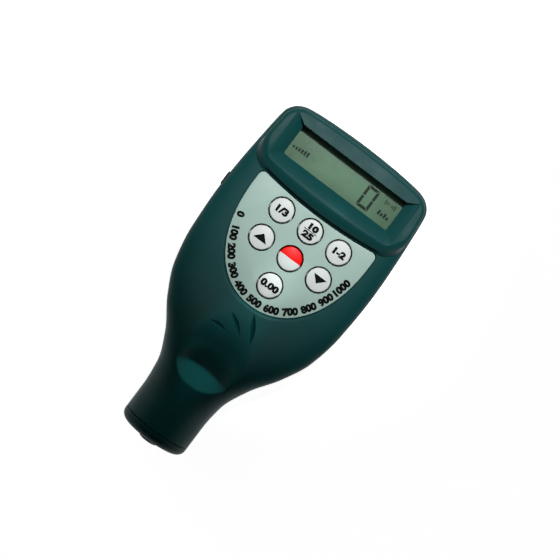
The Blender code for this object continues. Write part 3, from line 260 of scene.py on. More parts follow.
class Finish:
    """A procedural material on a piece's own coordinates."""

    def __init__(self, name, roughness=0.5, metallic=0.0, specular=0.5):
        self.material = bpy.data.materials.new(name)
        self.material.use_nodes = True
        self.nodes = self.material.node_tree.nodes
        self.links = self.material.node_tree.links
        self.shader = self.nodes["Principled BSDF"]
        start = {"Roughness": roughness, "Metallic": metallic, "Specular IOR Level": specular}
        for key, value in start.items():
            self.shader.inputs[key].default_value = value
        self.place = self.nodes.new("ShaderNodeTexCoord").outputs["Object"]

    def node(self, kind, **inputs):
        made = self.nodes.new(kind)
        for key, value in inputs.items():
            self.feed(made.inputs[key], value)
        return made

    def feed(self, socket, value):
        if isinstance(value, bpy.types.NodeSocket):
            self.links.new(value, socket)
        else:
            socket.default_value = value

    def noise(self, scale, detail=2.0, stretch=None):
        place = self.place
        if stretch:
            place = self.node("ShaderNodeMapping", Vector=place, Scale=stretch).outputs["Vector"]
        made = self.node("ShaderNodeTexNoise", Vector=place, Scale=scale, Detail=detail)
        return made.outputs["Fac"]

    def between(self, share, low, high):
        """A colour between two, by a share."""
        made = self.nodes.new("ShaderNodeMix")
        made.data_type = "RGBA"
        self.feed(made.inputs[0], share)
        self.feed(made.inputs[6], low)
        self.feed(made.inputs[7], high)
        return made.outputs[2]

    def span(self, value, low, high, to_low, to_high, smooth=False):
        made = self.node("ShaderNodeMapRange", Value=value)
        made.interpolation_type = "SMOOTHSTEP" if smooth else "LINEAR"
        ends = {"From Min": low, "From Max": high, "To Min": to_low, "To Max": to_high}
        for key, number in ends.items():
            made.inputs[key].default_value = number
        return made.outputs["Result"]

    def maths(self, operation, first, second=0.0):
        made = self.nodes.new("ShaderNodeMath")
        made.operation = operation
        self.feed(made.inputs[0], first)
        self.feed(made.inputs[1], second)
        return made.outputs["Value"]

    def coordinate(self, letter):
        return self.node("ShaderNodeSeparateXYZ", Vector=self.place).outputs[letter]

    def above(self, level, blur=0.0001):
        """0 below a place along Y, and 1 above it."""
        return self.span(self.coordinate("Y"), level, level + blur, 0.0, 1.0)

    def colour(self, value):
        self.feed(self.shader.inputs["Base Color"], value)

    def rough(self, pattern, low, high):
        """Roughness between two values, by a pattern."""
        self.feed(self.shader.inputs["Roughness"], self.span(pattern, 0.3, 0.7, low, high))

    def bump(self, height, distance, strength=1.0):
        made = self.node("ShaderNodeBump", Height=height, Distance=distance, Strength=strength)
        self.feed(self.shader.inputs["Normal"], made.outputs["Normal"])


def moulded(name, colour, roughness, grain=2600.0, depth=0.00003, specular=0.5, spread=0.06):
    """Moulded plastic: a fine spark grain, with slow drifts of shade and of gloss."""
    made = Finish(name, roughness, specular=specular)
    slow = made.noise(70.0, 3.0)
    made.colour(made.between(slow, shifted(colour, 1 - spread), shifted(colour, 1 + spread)))
    made.rough(made.noise(180.0, 4.0), roughness - 0.04, roughness + 0.05)
    made.bump(made.noise(grain, 3.0), depth)
    return made.material


def plated(name, colour, roughness, stretch=(1.0, 40.0, 1.0)):
    """Metal with fine drawn lines."""
    made = Finish(name, roughness, metallic=1.0)
    lines = made.noise(500.0, 3.0, stretch)
    made.colour(made.between(lines, shifted(colour, 0.88), shifted(colour, 1.06)))
    made.rough(lines, roughness - 0.06, roughness + 0.08)
    made.bump(lines, 0.00001)
    return made.material


def faceplate_film():
    """A satin film in grey green, with slow clouds of shade and fine specks."""
    made = Finish("faceplate_film", 0.45, specular=0.15)
    colour = tone(166, 193, 184)
    cloud = made.noise(45.0, 2.0)
    base = made.between(cloud, shifted(colour, 0.96), shifted(colour, 1.03))
    speck = made.span(made.noise(1800.0, 2.0), 0.35, 0.65, 0.0, 0.5)
    made.colour(made.between(speck, base, shifted(colour, 0.94)))
    made.rough(made.noise(300.0, 3.0), 0.38, 0.47)
    made.bump(made.noise(3200.0, 2.0), 0.00001)
    return made.material


def power_key_finish(centre):
    """A white key whose upper half is printed red."""
    made = Finish("power_key_print", 0.4, specular=0.15)
    above = made.above(centre[1] - 0.00004, 0.00008)
    drift = made.noise(500.0, 2.0)
    white = made.between(drift, tone(214, 222, 219), tone(222, 229, 226))
    red = made.between(drift, tone(236, 4, 6), tone(246, 8, 10))
    made.colour(made.between(above, white, red))
    made.rough(drift, 0.36, 0.44)
    made.bump(made.noise(2600.0, 2.0), 0.000015)
    return made.material


def display_glass():
    """The display's green glass, with painted shade darkening it towards its sides and its top and
    bottom edges, where the window's walls shade it, and a slow random drift of tone.
    """
    made = Finish("display_glass", 0.30, specular=0.15)
    # Painted shade: the green darkens towards the sides and ends of the window, standing in for the
    # shadow of the window's walls.
    across = made.maths("ABSOLUTE", made.coordinate("X"))
    side = made.span(across, 0.004, WINDOW_HALF, 0.0, 1.0, True)
    off = made.maths("ABSOLUTE", made.maths("SUBTRACT", made.coordinate("Y"), WINDOW_Y))
    end = made.span(off, 0.001, WINDOW_HEIGHT / 2, 0.0, 0.7, True)
    edge = made.maths("MAXIMUM", side, end)
    edge_shaded_green = made.between(edge, tone(86, 126, 98), tone(68, 101, 77))
    drift = made.span(made.noise(120.0, 2.0), 0.3, 0.7, 0.0, 0.22)
    made.colour(made.between(drift, edge_shaded_green, tone(97, 135, 106)))
    made.rough(made.noise(400.0), 0.26, 0.34)
    made.bump(made.noise(2000.0), 0.000006)
    return made.material


def clear_lens():
    """A thin clear lens: mostly open, with a soft gloss."""
    made = Finish("clear_lens_finish", 0.06, specular=0.3)
    haze = made.noise(90.0, 2.0)
    made.colour(made.between(haze, tone(120, 140, 130), tone(140, 158, 148)))
    made.feed(made.shader.inputs["Alpha"], made.span(haze, 0.3, 0.7, 0.02, 0.035))
    made.rough(made.noise(60.0), 0.05, 0.09)
    return made.material


def board_finish():
    made = Finish("board_mask", 0.4)
    weave = made.node("ShaderNodeTexBrick", Vector=made.place, Scale=260.0)
    colours = {"Color1": tone(18, 92, 48), "Color2": tone(22, 104, 54), "Mortar": tone(60, 130, 80)}
    for key, colour in colours.items():
        weave.inputs[key].default_value = colour
    made.colour(weave.outputs["Color"])
    made.rough(made.noise(300.0), 0.34, 0.46)
    made.bump(made.noise(900.0), 0.00002)
    return made.material


def cell_finish():
    """The wrap of the cells: dark, with a copper band at the end towards the probe."""
    made = Finish("cell_wrap", 0.32)
    middle = made.between(made.above(0.0120), tone(150, 92, 52), tone(34, 38, 42))
    made.colour(made.between(made.above(0.0450), middle, tone(44, 50, 56)))
    made.rough(made.noise(200.0), 0.26, 0.38)
    made.bump(made.noise(1500.0), 0.000008)
    return made.material


housing = moulded("housing_moulding", tone(8, 66, 66), 0.50, depth=0.00004, specular=0.16)
cap_moulding = moulded("cap_moulding", tone(7, 58, 59), 0.48, specular=0.13)
key_plastic = moulded("key_plastic", tone(217, 224, 221), 0.42, 2600.0, 0.00001, 0.2, 0.02)
dark_plastic = moulded("dark_plastic", tone(26, 27, 29), 0.48, spread=0.10)
pale_plastic = moulded("pale_plastic", tone(205, 203, 196), 0.50, spread=0.04)
rubber = moulded("rubber", tone(24, 28, 28), 0.72, grain=1800.0, spread=0.12)
# Black print, also used for the painted shade ring round each key
ink_and_ring_shade = moulded("black_ink_and_ring_shade", tone(10, 12, 12), 0.60, 4000.0, 0.000004, 0.05, 0.10)
lcd_ink = moulded("display_segments", tone(26, 38, 30), 0.60, 4000.0, 0.000004, 0.05, 0.08)
film = faceplate_film()
glass = display_glass()
lens = clear_lens()
board = board_finish()
wrap = cell_finish()
steel = plated("drawn_steel", tone(196, 198, 200), 0.32)
nickel = plated("nickel_plate", tone(208, 203, 194), 0.28)
brass = plated("turned_brass", tone(205, 170, 104), 0.30, (1.0, 1.0, 40.0))
copper = plated("copper_wire", tone(200, 128, 88), 0.35)


# Meshes


def linked(name, data):
    made = bpy.data.objects.new(name, data)
    bpy.context.scene.collection.objects.link(made)
    return made


def shaded(mesh):
    mesh.shade_smooth()
    mesh.set_sharp_from_angle(angle=SHARP_ANGLE)


def object_of(name, bm, finish=None):
    """Puts a bmesh in the scene as a smooth-shaded object with outward faces."""
    bmesh.ops.recalc_face_normals(bm, faces=bm.faces)
    mesh = bpy.data.meshes.new(name)
    bm.to_mesh(mesh)
    bm.free()
    shaded(mesh)
    if finish:
        mesh.materials.append(finish)
    return linked(name, mesh)


def band(bm, near, far):
    """Faces between two rows of points, of which either may be a single point."""
    count = max(len(near), len(far))
    for k in range(count if count > 1 else 0):
        j = (k + 1) % count
        corners = near[k % len(near)], near[j % len(near)], far[j % len(far)], far[k % len(far)]
        bm.faces.new(list(dict.fromkeys(corners)))


def loft(name, rings, finish=None):
    """A closed body through rings with equal numbers of points."""
    bm = bmesh.new()
    rows = [[bm.verts.new(point) for point in ring] for ring in rings]
    for low, high in zip(rows, rows[1:]):
        band(bm, low, high)
    for cap in (rows[0], rows[-1]):
        bm.faces.new(cap)
    return object_of(name, bm, finish)


def arc(steps, first=0, last=90):
    """The cosine and sine of even steps from one angle to another, in degrees."""
    turns = [math.radians(first + (last - first) * k / steps) for k in range(steps + 1)]
    return [(math.cos(turn), math.sin(turn)) for turn in turns]


def prism(name, outline, low, high, finish=None, edge=0.0):
    """An outline in plan raised between two heights, with its upper edge rounded off."""
    rings = [[(x, y, low) for x, y in outline]]
    if edge:
        for cosine, sine in arc(4):
            level = set_in(outline, edge * (1 - cosine))
            rings.append([(x, y, high - edge * (1 - sine)) for x, y in level])
    else:
        rings.append([(x, y, high) for x, y in outline])
    return loft(name, rings, finish)


def set_in(outline, inset):
    """An anticlockwise outline moved inwards by inset along its own normals."""
    made = []
    count = len(outline)
    for i, (x, y) in enumerate(outline):
        ahead = Vector(outline[(i + 1) % count]) - Vector(outline[i - 1])
        ahead.normalize()
        made.append((x - ahead.y * inset, y + ahead.x * inset))
    return made


def box_outline(x0, y0, x1, y1):
    return [(x0, y0), (x1, y0), (x1, y1), (x0, y1)]


def block(name, x_range, y_range, z_range, finish=None):
    (x0, x1), (y0, y1) = x_range, y_range
    return prism(name, box_outline(x0, y0, x1, y1), *z_range, finish)


def circle(x, y, radius, segments=64):
    turn = [math.tau * k / segments for k in range(segments)]
    return [(x + radius * math.cos(a), y + radius * math.sin(a)) for a in turn]


def turned(name, profile, place, axis="Z", segments=72, finish=None):
    """A closed (radius, height) profile turned about a line through place."""
    bm = bmesh.new()
    rows = []
    for radius, height in profile:
        row = []
        for across, up in circle(0.0, 0.0, radius, segments if radius else 1):
            point = Vector((across, up, height) if axis == "Z" else (across, height, up))
            row.append(bm.verts.new(point + Vector(place)))
        rows.append(row)
    for near, far in zip(rows, rows[1:] + rows[:1]):
        band(bm, near, far)
    return object_of(name, bm, finish)


def rounded(corners, steps=8):
    """An outline with each corner (x, y, radius) rounded, in the order given."""
    outline = []
    for i, (x, y, radius) in enumerate(corners):
        corner = Vector((x, y))
        before = (Vector(corners[i - 1][:2]) - corner).normalized()
        after = (Vector(corners[(i + 1) % len(corners)][:2]) - corner).normalized()
        half = before.angle(after) / 2
        centre = corner + (before + after).normalized() * radius / math.sin(half)
        reach = radius / math.tan(half)
        start = corner + before * reach - centre
        sweep = start.angle_signed(corner + after * reach - centre)
        for k in range(steps + 1):
            turn = Matrix.Rotation(-sweep * k / steps, 2)
            outline.append(tuple(centre + turn @ start))
    return outline


def joined(name, pieces, finish=None):
    bm = bmesh.new()
    for piece in pieces:
        bm.from_mesh(piece.data)
        bpy.data.objects.remove(piece)
    return object_of(name, bm, finish)


def boolean(target, tool, operation):
    step = target.modifiers.new(tool.name, "BOOLEAN")
    step.object = tool
    step.operation = operation
    step.solver = "EXACT"
    tool.hide_render = True


def cut(target, *tools):
    for tool in tools:
        boolean(target, tool, "DIFFERENCE")


def add(target, *tools):
    for tool in tools:
        boolean(target, tool, "UNION")


def tools_of(piece):
    found = []
    for step in piece.modifiers:
        if step.type == "BOOLEAN":
            found += [step.object, *tools_of(step.object)]
    return found


def evaluated(piece):
    """The piece's mesh with its modifiers applied."""
    graph = bpy.context.evaluated_depsgraph_get()
    return bpy.data.meshes.new_from_object(piece.evaluated_get(graph))


def settled(piece):
    """The piece with its modifiers made into its mesh, and its tools removed."""
    mesh = evaluated(piece)
    used = list(dict.fromkeys(tools_of(piece)))
    piece.modifiers.clear()
    piece.data = mesh
    for tool in used:
        bpy.data.objects.remove(tool)
    bm = bmesh.new()
    bm.from_mesh(mesh)
    bmesh.ops.remove_doubles(bm, verts=bm.verts, dist=MERGE)
    bm.to_mesh(mesh)
    bm.free()
    shaded(mesh)
    return piece


def dressed(piece, body, slot, *nodes):
    """Rides a finished piece on its body, in place of the nodes named."""
    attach(piece, body)
    if nodes:
        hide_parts(*nodes)
    return piece


# Form of the housing


def smooth_step(value):
    share = min(max(value, 0.0), 1.0)
    return share * share * (3 - 2 * share)


def smooth_through(stations, at):
    """A curve through (place, value) stations that never overshoots them."""
    places, values = zip(*stations)
    if at <= places[0]:
        return values[0]
    if at >= places[-1]:
        return values[-1]
    steps = [b - a for a, b in zip(places, places[1:])]
    slopes = [(b - a) / step for a, b, step in zip(values, values[1:], steps)]
    bends = [0.0]
    for before, after in zip(slopes, slopes[1:]):
        bends.append(2 * before * after / (before + after) if before * after > 0 else 0.0)
    bends.append(slopes[-1])
    i = max(k for k in range(len(steps)) if places[k] <= at)
    share = (at - places[i]) / steps[i]
    return (
        values[i] * (1 + 2 * share) * (1 - share) ** 2
        + bends[i] * steps[i] * share * (1 - share) ** 2
        + values[i + 1] * share**2 * (3 - 2 * share)
        + bends[i + 1] * steps[i] * share**2 * (share - 1)
    )


def half_width(y):
    along = (y - NOSE_END) / BODY_LENGTH
    return NECK_RADIUS + (HEAD_RADIUS - NECK_RADIUS) * smooth_through(PLAN_STATIONS, along)


def neckness(y):
    """0 in the head, 1 in the neck."""
    along = (y - NOSE_END) / BODY_LENGTH
    return 1 - smooth_step((along - SHOULDER_START) / (SHOULDER_END - SHOULDER_START))


def form_at(y, head):
    """A section's squareness and its height from the axis, where the head's own is given."""
    neck = neckness(y)
    return HEAD_SQUARENESS + (2.0 - HEAD_SQUARENESS) * neck, head + (NECK_RADIUS - head) * neck


def rounding(y, radius, inset):
    """What an end radius takes off at y, on a shell set in by inset."""
    into = y - (DISPLAY_END - inset - radius)
    if into <= 0:
        return 0.0
    return radius - math.sqrt(max(radius**2 - into**2, 0.0))


def arched(x, y):
    """The display end is a shallow arch, which fades out along the head."""
    fade = max(0.0, (y - DISPLAY_END / 2) / (DISPLAY_END / 2))
    return y - END_ARCH * (x / HEAD_RADIUS) ** 2 * fade**2


def scooped(x, y, z):
    """The face lowered into the thumb scoop: its rim is soft at the keys and crisp at the nose."""
    across = abs(x - SCOOP_SHIFT) / SCOOP_HALF_WIDTH
    into = y - SCOOP_VALLEY_Y + SCOOP_VALLEY_BOW * across**2
    along = into / (SCOOP_TO_KEYS if into > 0 else SCOOP_TO_NOSE)
    if math.hypot(across, along) > SCOOP_EXTENT:
        return z
    climb = math.hypot(along, SCOOP_TROUGH) - SCOOP_TROUGH
    low = SCOOP_BOTTOM_Z + SCOOP_DEEP * (climb + across**SCOOP_SIDE_POWER)
    towards_keys = smooth_step((into - SCOOP_SOFT_FROM) / SCOOP_SOFT_RUN)
    blend = SCOOP_CRISP + (SCOOP_SOFT - SCOOP_CRISP) * towards_keys
    share = min(max(0.5 + 0.5 * (low - z) / blend, 0.0), 1.0)
    return low + (z - low) * share - blend * share * (1 - share)


def section(y, side, inset, count, seam, reach=0.0):
    """The outline of the front (side 1) or rear (side -1) shell at y, in even steps."""
    power, height = form_at(y, HEAD_Z - AXIS_Z if side > 0 else AXIS_Z + NECK_LIFT)
    width = half_width(y) - inset - rounding(y, END_CORNER - inset, inset)
    height = height - inset - rounding(y, END_FILLET - inset, inset)
    angle = np.linspace(0.0, math.pi, 1201)
    across, up = np.cos(angle), np.sin(angle)
    xs = width * np.sign(across) * np.abs(across) ** (2 / power)
    rise = np.maximum(height * np.abs(up) ** (2 / power), seam)
    zs = AXIS_Z + side * rise
    if side < 0:
        zs = np.maximum(zs, inset)
    run = np.concatenate(([0.0], np.cumsum(np.hypot(np.diff(xs), np.diff(zs)))))
    even = np.linspace(0.0, run[-1], count + 1)
    xs, zs = np.interp(even, run, xs), np.interp(even, run, zs)
    outline = []
    for x, z in zip(xs.tolist(), zs.tolist()):
        if side > 0 and not inset:
            z = scooped(x, y, z)
        outline.append((x, arched(x, y), z))
    if reach:
        ends = outline[-1], outline[0]
        outline += [(x, at, AXIS_Z - side * reach) for x, at, _ in ends]
    return outline


def shell_stations(low, inset, pitch, fine=False):
    """Places of the sections, closer together where the ends turn over."""
    end = DISPLAY_END - inset
    corner = END_CORNER - inset
    count = round((end - corner - low) / pitch)
    even = [low + (end - corner - low) * k / count for k in range(count + 1)]
    if fine:
        first, last = SCOOP_FINE_Y
        count = round((last - first) / SCOOP_FINE_PITCH)
        inside = [first + (last - first) * k / count for k in range(count + 1)]
        even = sorted([y for y in even if not first - pitch / 2 < y < last + pitch / 2] + inside)
    turn = [end - corner * (1 - math.sin(math.radians(a))) for a in range(6, 90, 6)]
    return even + turn + [end]


def outer_form(name, side, finish):
    """A shell's outer form, whose parting edge and end wall follow the arch of the display end."""
    rings = []
    for y in shell_stations(CASE_NOSE, 0.0, RING_PITCH, side > 0):
        ring = section(y, side, 0.0, RING_POINTS, SEAM / 2)
        (right, _, z), (left, _, _) = ring[0], ring[-1]
        for k in range(1, PARTING_POINTS):
            x = left + (right - left) * k / PARTING_POINTS
            ring.append((x, arched(x, y), z))
        rings.append(ring)
    wall = rings[-1]
    middle = (min(z for _, _, z in wall) + max(z for _, _, z in wall)) / 2
    for share in END_WALL_SHARES:
        inner = [(x * share, middle + (z - middle) * share) for x, _, z in wall]
        rings.append([(x, arched(x, DISPLAY_END), z) for x, z in inner])
    return loft(name, rings, finish)


def hollow_form(name, side):
    stations = shell_stations(CASE_NOSE - REACH, WALL, 0.0060)
    return loft(name, [section(y, side, WALL, 24, 0.0, REACH) for y in stations])


def face_height(x, y):
    """Height of the housing's face."""
    power, height = form_at(y, HEAD_Z - AXIS_Z)
    return AXIS_Z + height * (1 - abs(x / half_width(y)) ** power) ** (1 / power)


# Front case


def crest_fall(y):
    """How far the hood's crest has come down at y, towards the display end."""
    return HOOD_FALL * max(0.0, (y - WINDOW_Y) / (DISPLAY_END - WINDOW_Y))


def finely_split(outline, longest, pieces):
    """An outline whose sides longer than longest are split into equal pieces."""
    made = []
    for here, there in zip(outline, outline[1:] + outline[:1]):
        count = pieces if math.dist(here, there) > longest else 1
        for k in range(count):
            share = k / count
            made.append([a + (b - a) * share for a, b in zip(here, there)])
    return made


def hood_ring(height, ridge_y, end_set, side_set, corner):
    """One level of the hood's outside, bowed along its lower edge and arched at its end."""
    y_end = DISPLAY_END - end_set
    half_low = half_width(ridge_y + HOOD_CORNER) - side_set
    half_high = half_width(y_end) - side_set
    corners = [
        (-half_low, ridge_y + HOOD_BOW, corner),
        (half_low, ridge_y + HOOD_BOW, corner),
        (half_high, y_end, END_CORNER),
        (-half_high, y_end, END_CORNER),
    ]
    ring = []
    for x, y in finely_split(rounded(corners, 12), 0.004, 40):
        low_part = max(0.0, (y_end - y) / (y_end - ridge_y))
        bowing = (low_part - HOOD_BOW_START) / (HOOD_BOW_FULL - HOOD_BOW_START)
        dip = HOOD_BOW * (1 - (x / half_low) ** 2) * smooth_step(bowing)
        ring.append((x, arched(x, y - dip), height - crest_fall(y) * (height > HEAD_Z)))
    return ring


def rolled(below, radius):
    """How far inwards a rounded edge is at a depth below its crest."""
    share = max(0.0, 1 - below / radius)
    return radius * (1 - math.sqrt(1 - share**2))


def hood():
    """The raised frame of the display, with a tight outer edge and a full roll along its ridge."""
    rise = CREST_Z - HEAD_Z
    slope = (HOOD_FOOT_SET - HOOD_RIDGE_SET) / rise
    foot_z = (AXIS_Z + HEAD_Z) / 2 + HOOD_FOOT_IN
    foot_y = DISPLAY_END - HOOD_FOOT_SET - (HEAD_Z - foot_z) * slope
    ridge_y = DISPLAY_END - HOOD_RIDGE_SET
    rings = [hood_ring(foot_z, foot_y, HOOD_FOOT_IN, HOOD_FOOT_IN, HOOD_CORNER)]
    for _, sine in arc(14):
        below = HOOD_RIDGE_ROLL * (1 - sine)
        edge, ridge = rolled(below, HOOD_EDGE), rolled(below, HOOD_RIDGE_ROLL)
        low = ridge_y - below * slope + ridge
        sides = HOOD_SIDE_SET + edge - HOOD_EDGE / 2
        ends = HOOD_END_SET + edge - HOOD_EDGE / 2
        rings.append(hood_ring(CREST_Z - below, low, ends, sides, HOOD_CORNER - edge))
    return loft("hood_form", rings)


def funnel_outline(share):
    """One level of the opening, from the window (0) to the rim (1), with raised upper corners."""
    top = WINDOW_Y + WINDOW_HEIGHT / 2
    half = WINDOW_HALF + (FUNNEL_HALF - WINDOW_HALF) * share + FUNNEL_PLAY
    bottom = top - WINDOW_HEIGHT
    low = bottom + (DISPLAY_END - FUNNEL_LOW_SET - bottom) * share
    lift = top + FUNNEL_LIFT * share + FUNNEL_PLAY
    corner = WINDOW_CORNER + (FUNNEL_CORNER - WINDOW_CORNER) * share
    nick = FUNNEL_NICK + FUNNEL_NICK_RIM * share
    corners = [(-half, low, corner), (half, low, corner), (half, lift, nick)]
    corners += [(side * WINDOW_HALF, top, FUNNEL_NICK) for side in (1, -1)]
    return rounded([*corners, (-half, lift, nick)])


def funnel():
    """The window's opening and the slopes down to it, whose rims roll over softly."""
    levels = [(LENS_Z, 0.0), (FUNNEL_Z, 0.0)]
    rise = CREST_Z - FUNNEL_Z
    for cosine, sine in arc(12):
        z = CREST_Z - FUNNEL_ROLL * (1 - sine)
        levels.append((z, (z - FUNNEL_Z) / rise + FUNNEL_FLARE * (1 - cosine)))
    levels.append((CREST_Z + REACH, levels[-1][1]))
    rings = []
    for z, share in levels:
        outline = funnel_outline(share)
        rings.append([(x, y, z - crest_fall(y) * min(share, 1.0)) for x, y in outline])
    return loft("funnel_cut", rings)


def belly(grow, steps):
    """The plate's round lower edge, from its left flank round to its right one."""
    half, tip = PLATE_HALF + grow, PLATE_TIP - grow
    flank = PLATE_TOP - PLATE_FLANK
    made = []
    for across, down in arc(steps, 180, 360):
        x = half * math.copysign(abs(across) ** (2 / PLATE_POWER), across)
        made.append((x + PLATE_SHIFT, flank - (flank - tip) * abs(down) ** (2 / PLATE_POWER)))
    return made


def faceplate_outline(grow):
    """The shield: bowed-in top edge, rounded corners, straight flanks and a round belly."""
    half = PLATE_HALF + grow
    top = PLATE_TOP + grow
    corner = PLATE_CORNER + grow
    outline = belly(grow, 72)
    for side, first in ((1, 0), (-1, 90)):
        for cosine, sine in arc(9, first, first + 90):
            x = side * (half - corner) + corner * cosine
            outline.append((x + PLATE_SHIFT, top - corner + corner * sine))
        if side > 0:
            for k in range(1, 24):
                share = 1 - k / 12
                x = (half - corner) * share + PLATE_SHIFT
                outline.append((x, top - PLATE_DIP * (1 - share**2)))
    return outline


def key_places():
    names = (("mode", "units", "substrate"), ("up", "power", "down"), (None, "zero", None))
    places = {}
    for y, row in zip(KEY_ROWS, names):
        for column, name in enumerate(row):
            if name:
                places[name] = (KEY_X + (column - 1) * KEY_PITCH_X, y)
    return places


def key_holes(name, low, high):
    radius = KEY_RADIUS + SHADOW_GAP
    holes = [prism("hole", circle(x, y, radius), low, high) for x, y in key_places().values()]
    return joined(name, holes)


def scoop_backing():
    """What the cavity leaves solid behind the thumb scoop."""
    bm = bmesh.new()
    place = (0.0, SCOOP_Y, SCOOP_BOTTOM_Z + SCOOP_RADII[2])
    radii = [radius + WALL for radius in SCOOP_RADII]
    where = Matrix.Translation(place) @ Matrix.Diagonal((*radii, 1.0))
    bmesh.ops.create_uvsphere(bm, u_segments=120, v_segments=80, radius=1.0, matrix=where)
    return object_of("scoop_backing", bm)


def groove_cutters():
    """Leaf-shaped keels with a round bottom, sunk in the face along each groove line."""
    made = []
    steps = 28
    for ends in GROOVES:
        start, end = map(Vector, ends)
        along = (end - start).normalized()
        across = Vector((-along.y, along.x))
        rings = []
        for k in range(steps + 1):
            share = k / steps
            bulge = math.sin(math.pi * share)
            fullness = max(bulge**0.8, 0.05)
            centre = start.lerp(end, share) + across * GROOVE_BOW * bulge
            half = GROOVE_WIDTH / 2 * fullness
            ring = []
            for cosine, _ in arc(12, 0, 180):
                place = centre - across * half * cosine
                side = -cosine - GROOVE_SKEW
                run = side / (1 - GROOVE_SKEW) if side > 0 else -side / (1 + GROOVE_SKEW)
                deep = GROOVE_DEPTH * fullness * (1 - run**1.4)
                ring.append((*place, face_height(*place) - deep))
            over = [(*(centre + across * half * side), CREST_Z + REACH) for side in (1, -1)]
            rings.append(ring + over)
        made.append(loft("groove", rings))
    return joined("groove_cut", made)


def lengthways(name, outline, y_low, y_high):
    """An (x, z) outline raised along Y."""
    return loft(name, [[(x, y, z) for x, z in outline] for y in (y_low, y_high)])


def across_wall(name, outline, x_low, x_high, finish=None):
    """A (y, z) outline raised along X."""
    return loft(name, [[(x, y, z) for y, z in outline] for x in (x_low, x_high)], finish)


def behind_window(name, half_x, half_y, top):
    y_range = (WINDOW_Y - half_y, WINDOW_Y + half_y)
    return block(name, (-half_x, half_x), y_range, (AXIS_Z + GAP, top))


PORT_Y = 0.0256
PORT_Z = 0.0175
PORT_LENGTH = 0.0053
PORT_HEIGHT = 0.0036
PORT_CORNER = 0.0010
PORT_PROUD = 0.0003
PORT_DEPTH = 0.0024


def port_outline(grow):
    """The port cover's (y, z) outline."""
    half_y, half_z = PORT_LENGTH / 2 + grow, PORT_HEIGHT / 2 + grow
    corners = box_outline(PORT_Y - half_y, PORT_Z - half_z, PORT_Y + half_y, PORT_Z + half_z)
    return rounded([(*corner, PORT_CORNER + grow) for corner in corners])


def front_case():
    case = outer_form("front_moulding", 1, housing)
    add(case, hood())
    cavity = hollow_form("front_cavity", 1)
    cut(cavity, scoop_backing())
    cut(case, cavity)
    add(case, prism("keypad_panel", faceplate_outline(WALL), PANEL_UNDER_Z, RECESS_Z + GAP))
    well = LCD_FRAME_WALL + 2 * GAP
    seat = LENS_RIM + GAP
    cut(
        case,
        behind_window("display_well", LCD_HALF_X + well, LCD_HALF_Y + well, LENS_Z),
        behind_window("lens_seat", WINDOW_HALF + seat, WINDOW_HEIGHT / 2 + seat, LIP_Z),
        funnel(),
    )
    recess = faceplate_outline(GAP)
    rings = []
    for deep, grow in RECESS_ROLL:
        rings.append([(x, y, HEAD_Z - deep) for x, y in set_in(recess, -grow)])
    rings.append([(x, y, CREST_Z + REACH) for x, y in set_in(recess, -RECESS_ROLL[-1][1])])
    cut(case, loft("faceplate_recess", rings))
    cut(case, key_holes("panel_holes", PANEL_UNDER_Z - OVERLAP, CREST_Z))
    port_x = (-HEAD_RADIUS - REACH, -HEAD_RADIUS + WALL + REACH)
    cut(case, across_wall("port_cut", port_outline(SHADOW_GAP), *port_x))
    cut(case, groove_cutters())
    dressed(settled(case), "housing", "housing_green", "front_case")


# Rear case and door

BAY_HALF = 0.02205
BAY_WALL = 0.0015
BAY_LOW = 0.0041
BAY_HIGH = 0.0538
BAY_CEILING_Z = 0.0127
BAY_ROOF_Z = 0.0139
DOOR_LOW = 0.0026
DOOR_THICKNESS = 0.0016
DOOR_FLANGE = 0.0007
DOOR_FLANGE_THICKNESS = 0.0008
THUMB_COUNT = 5
THUMB_PITCH = 0.0022
THUMB_SET = 0.0090
THUMB_HALF = 0.00062
THUMB_DEPTH = 0.00055
THUMB_REACH = 0.0080
SCREW_PLACES = ((0.02635, 0.0343), (0.0168, -0.0122))
SCREW_SEAT_DEPTH = 0.0070
SCREW_HEAD_DIAMETER = 0.0042
SCREW_DIAMETER = 0.0022
SCREW_BOSS_DIAMETER = 0.0056


def posts(name, diameter, low, high):
    made = []
    for x, y in SCREW_PLACES:
        for side in (-1, 1):
            made.append(prism("post", circle(side * x, y, diameter / 2, 40), low, high))
    return joined(name, made)


def door_profile(grow, bottom):
    half, rail = BAY_HALF + grow, BAY_HALF + DOOR_FLANGE + grow
    top = DOOR_THICKNESS + grow
    rail_z = DOOR_THICKNESS - DOOR_FLANGE_THICKNESS - grow
    right = [(half, bottom), (half, rail_z), (rail, rail_z), (rail, top)]
    return right + [(-x, z) for x, z in right[::-1]]


def rear_case():
    case = outer_form("rear_moulding", -1, housing)
    cut(case, hollow_form("rear_cavity", -1))
    bay_x = BAY_HALF + BAY_WALL
    bay_y = (BAY_LOW - BAY_WALL, BAY_HIGH + BAY_WALL)
    add(case, block("bay_block", (-bay_x, bay_x), bay_y, (WALL / 2, BAY_ROOF_Z)))
    add(case, posts("rear_posts", SCREW_BOSS_DIAMETER, WALL / 2, AXIS_Z - SEAM / 2))
    bay = block("bay_cut", (-BAY_HALF, BAY_HALF), (BAY_LOW, BAY_HIGH), (-REACH, BAY_CEILING_Z))
    slot_y = (DOOR_LOW - GAP, DISPLAY_END + REACH)
    cut(case, bay, lengthways("door_slot", door_profile(GAP, -REACH), *slot_y))
    cut(case, posts("head_holes", SCREW_HEAD_DIAMETER + 2 * GAP, -REACH, SCREW_SEAT_DEPTH))
    cut(case, posts("shank_holes", SCREW_DIAMETER + 2 * GAP, -REACH, AXIS_Z + REACH))
    dressed(settled(case), "housing", "housing_green", "rear_case")


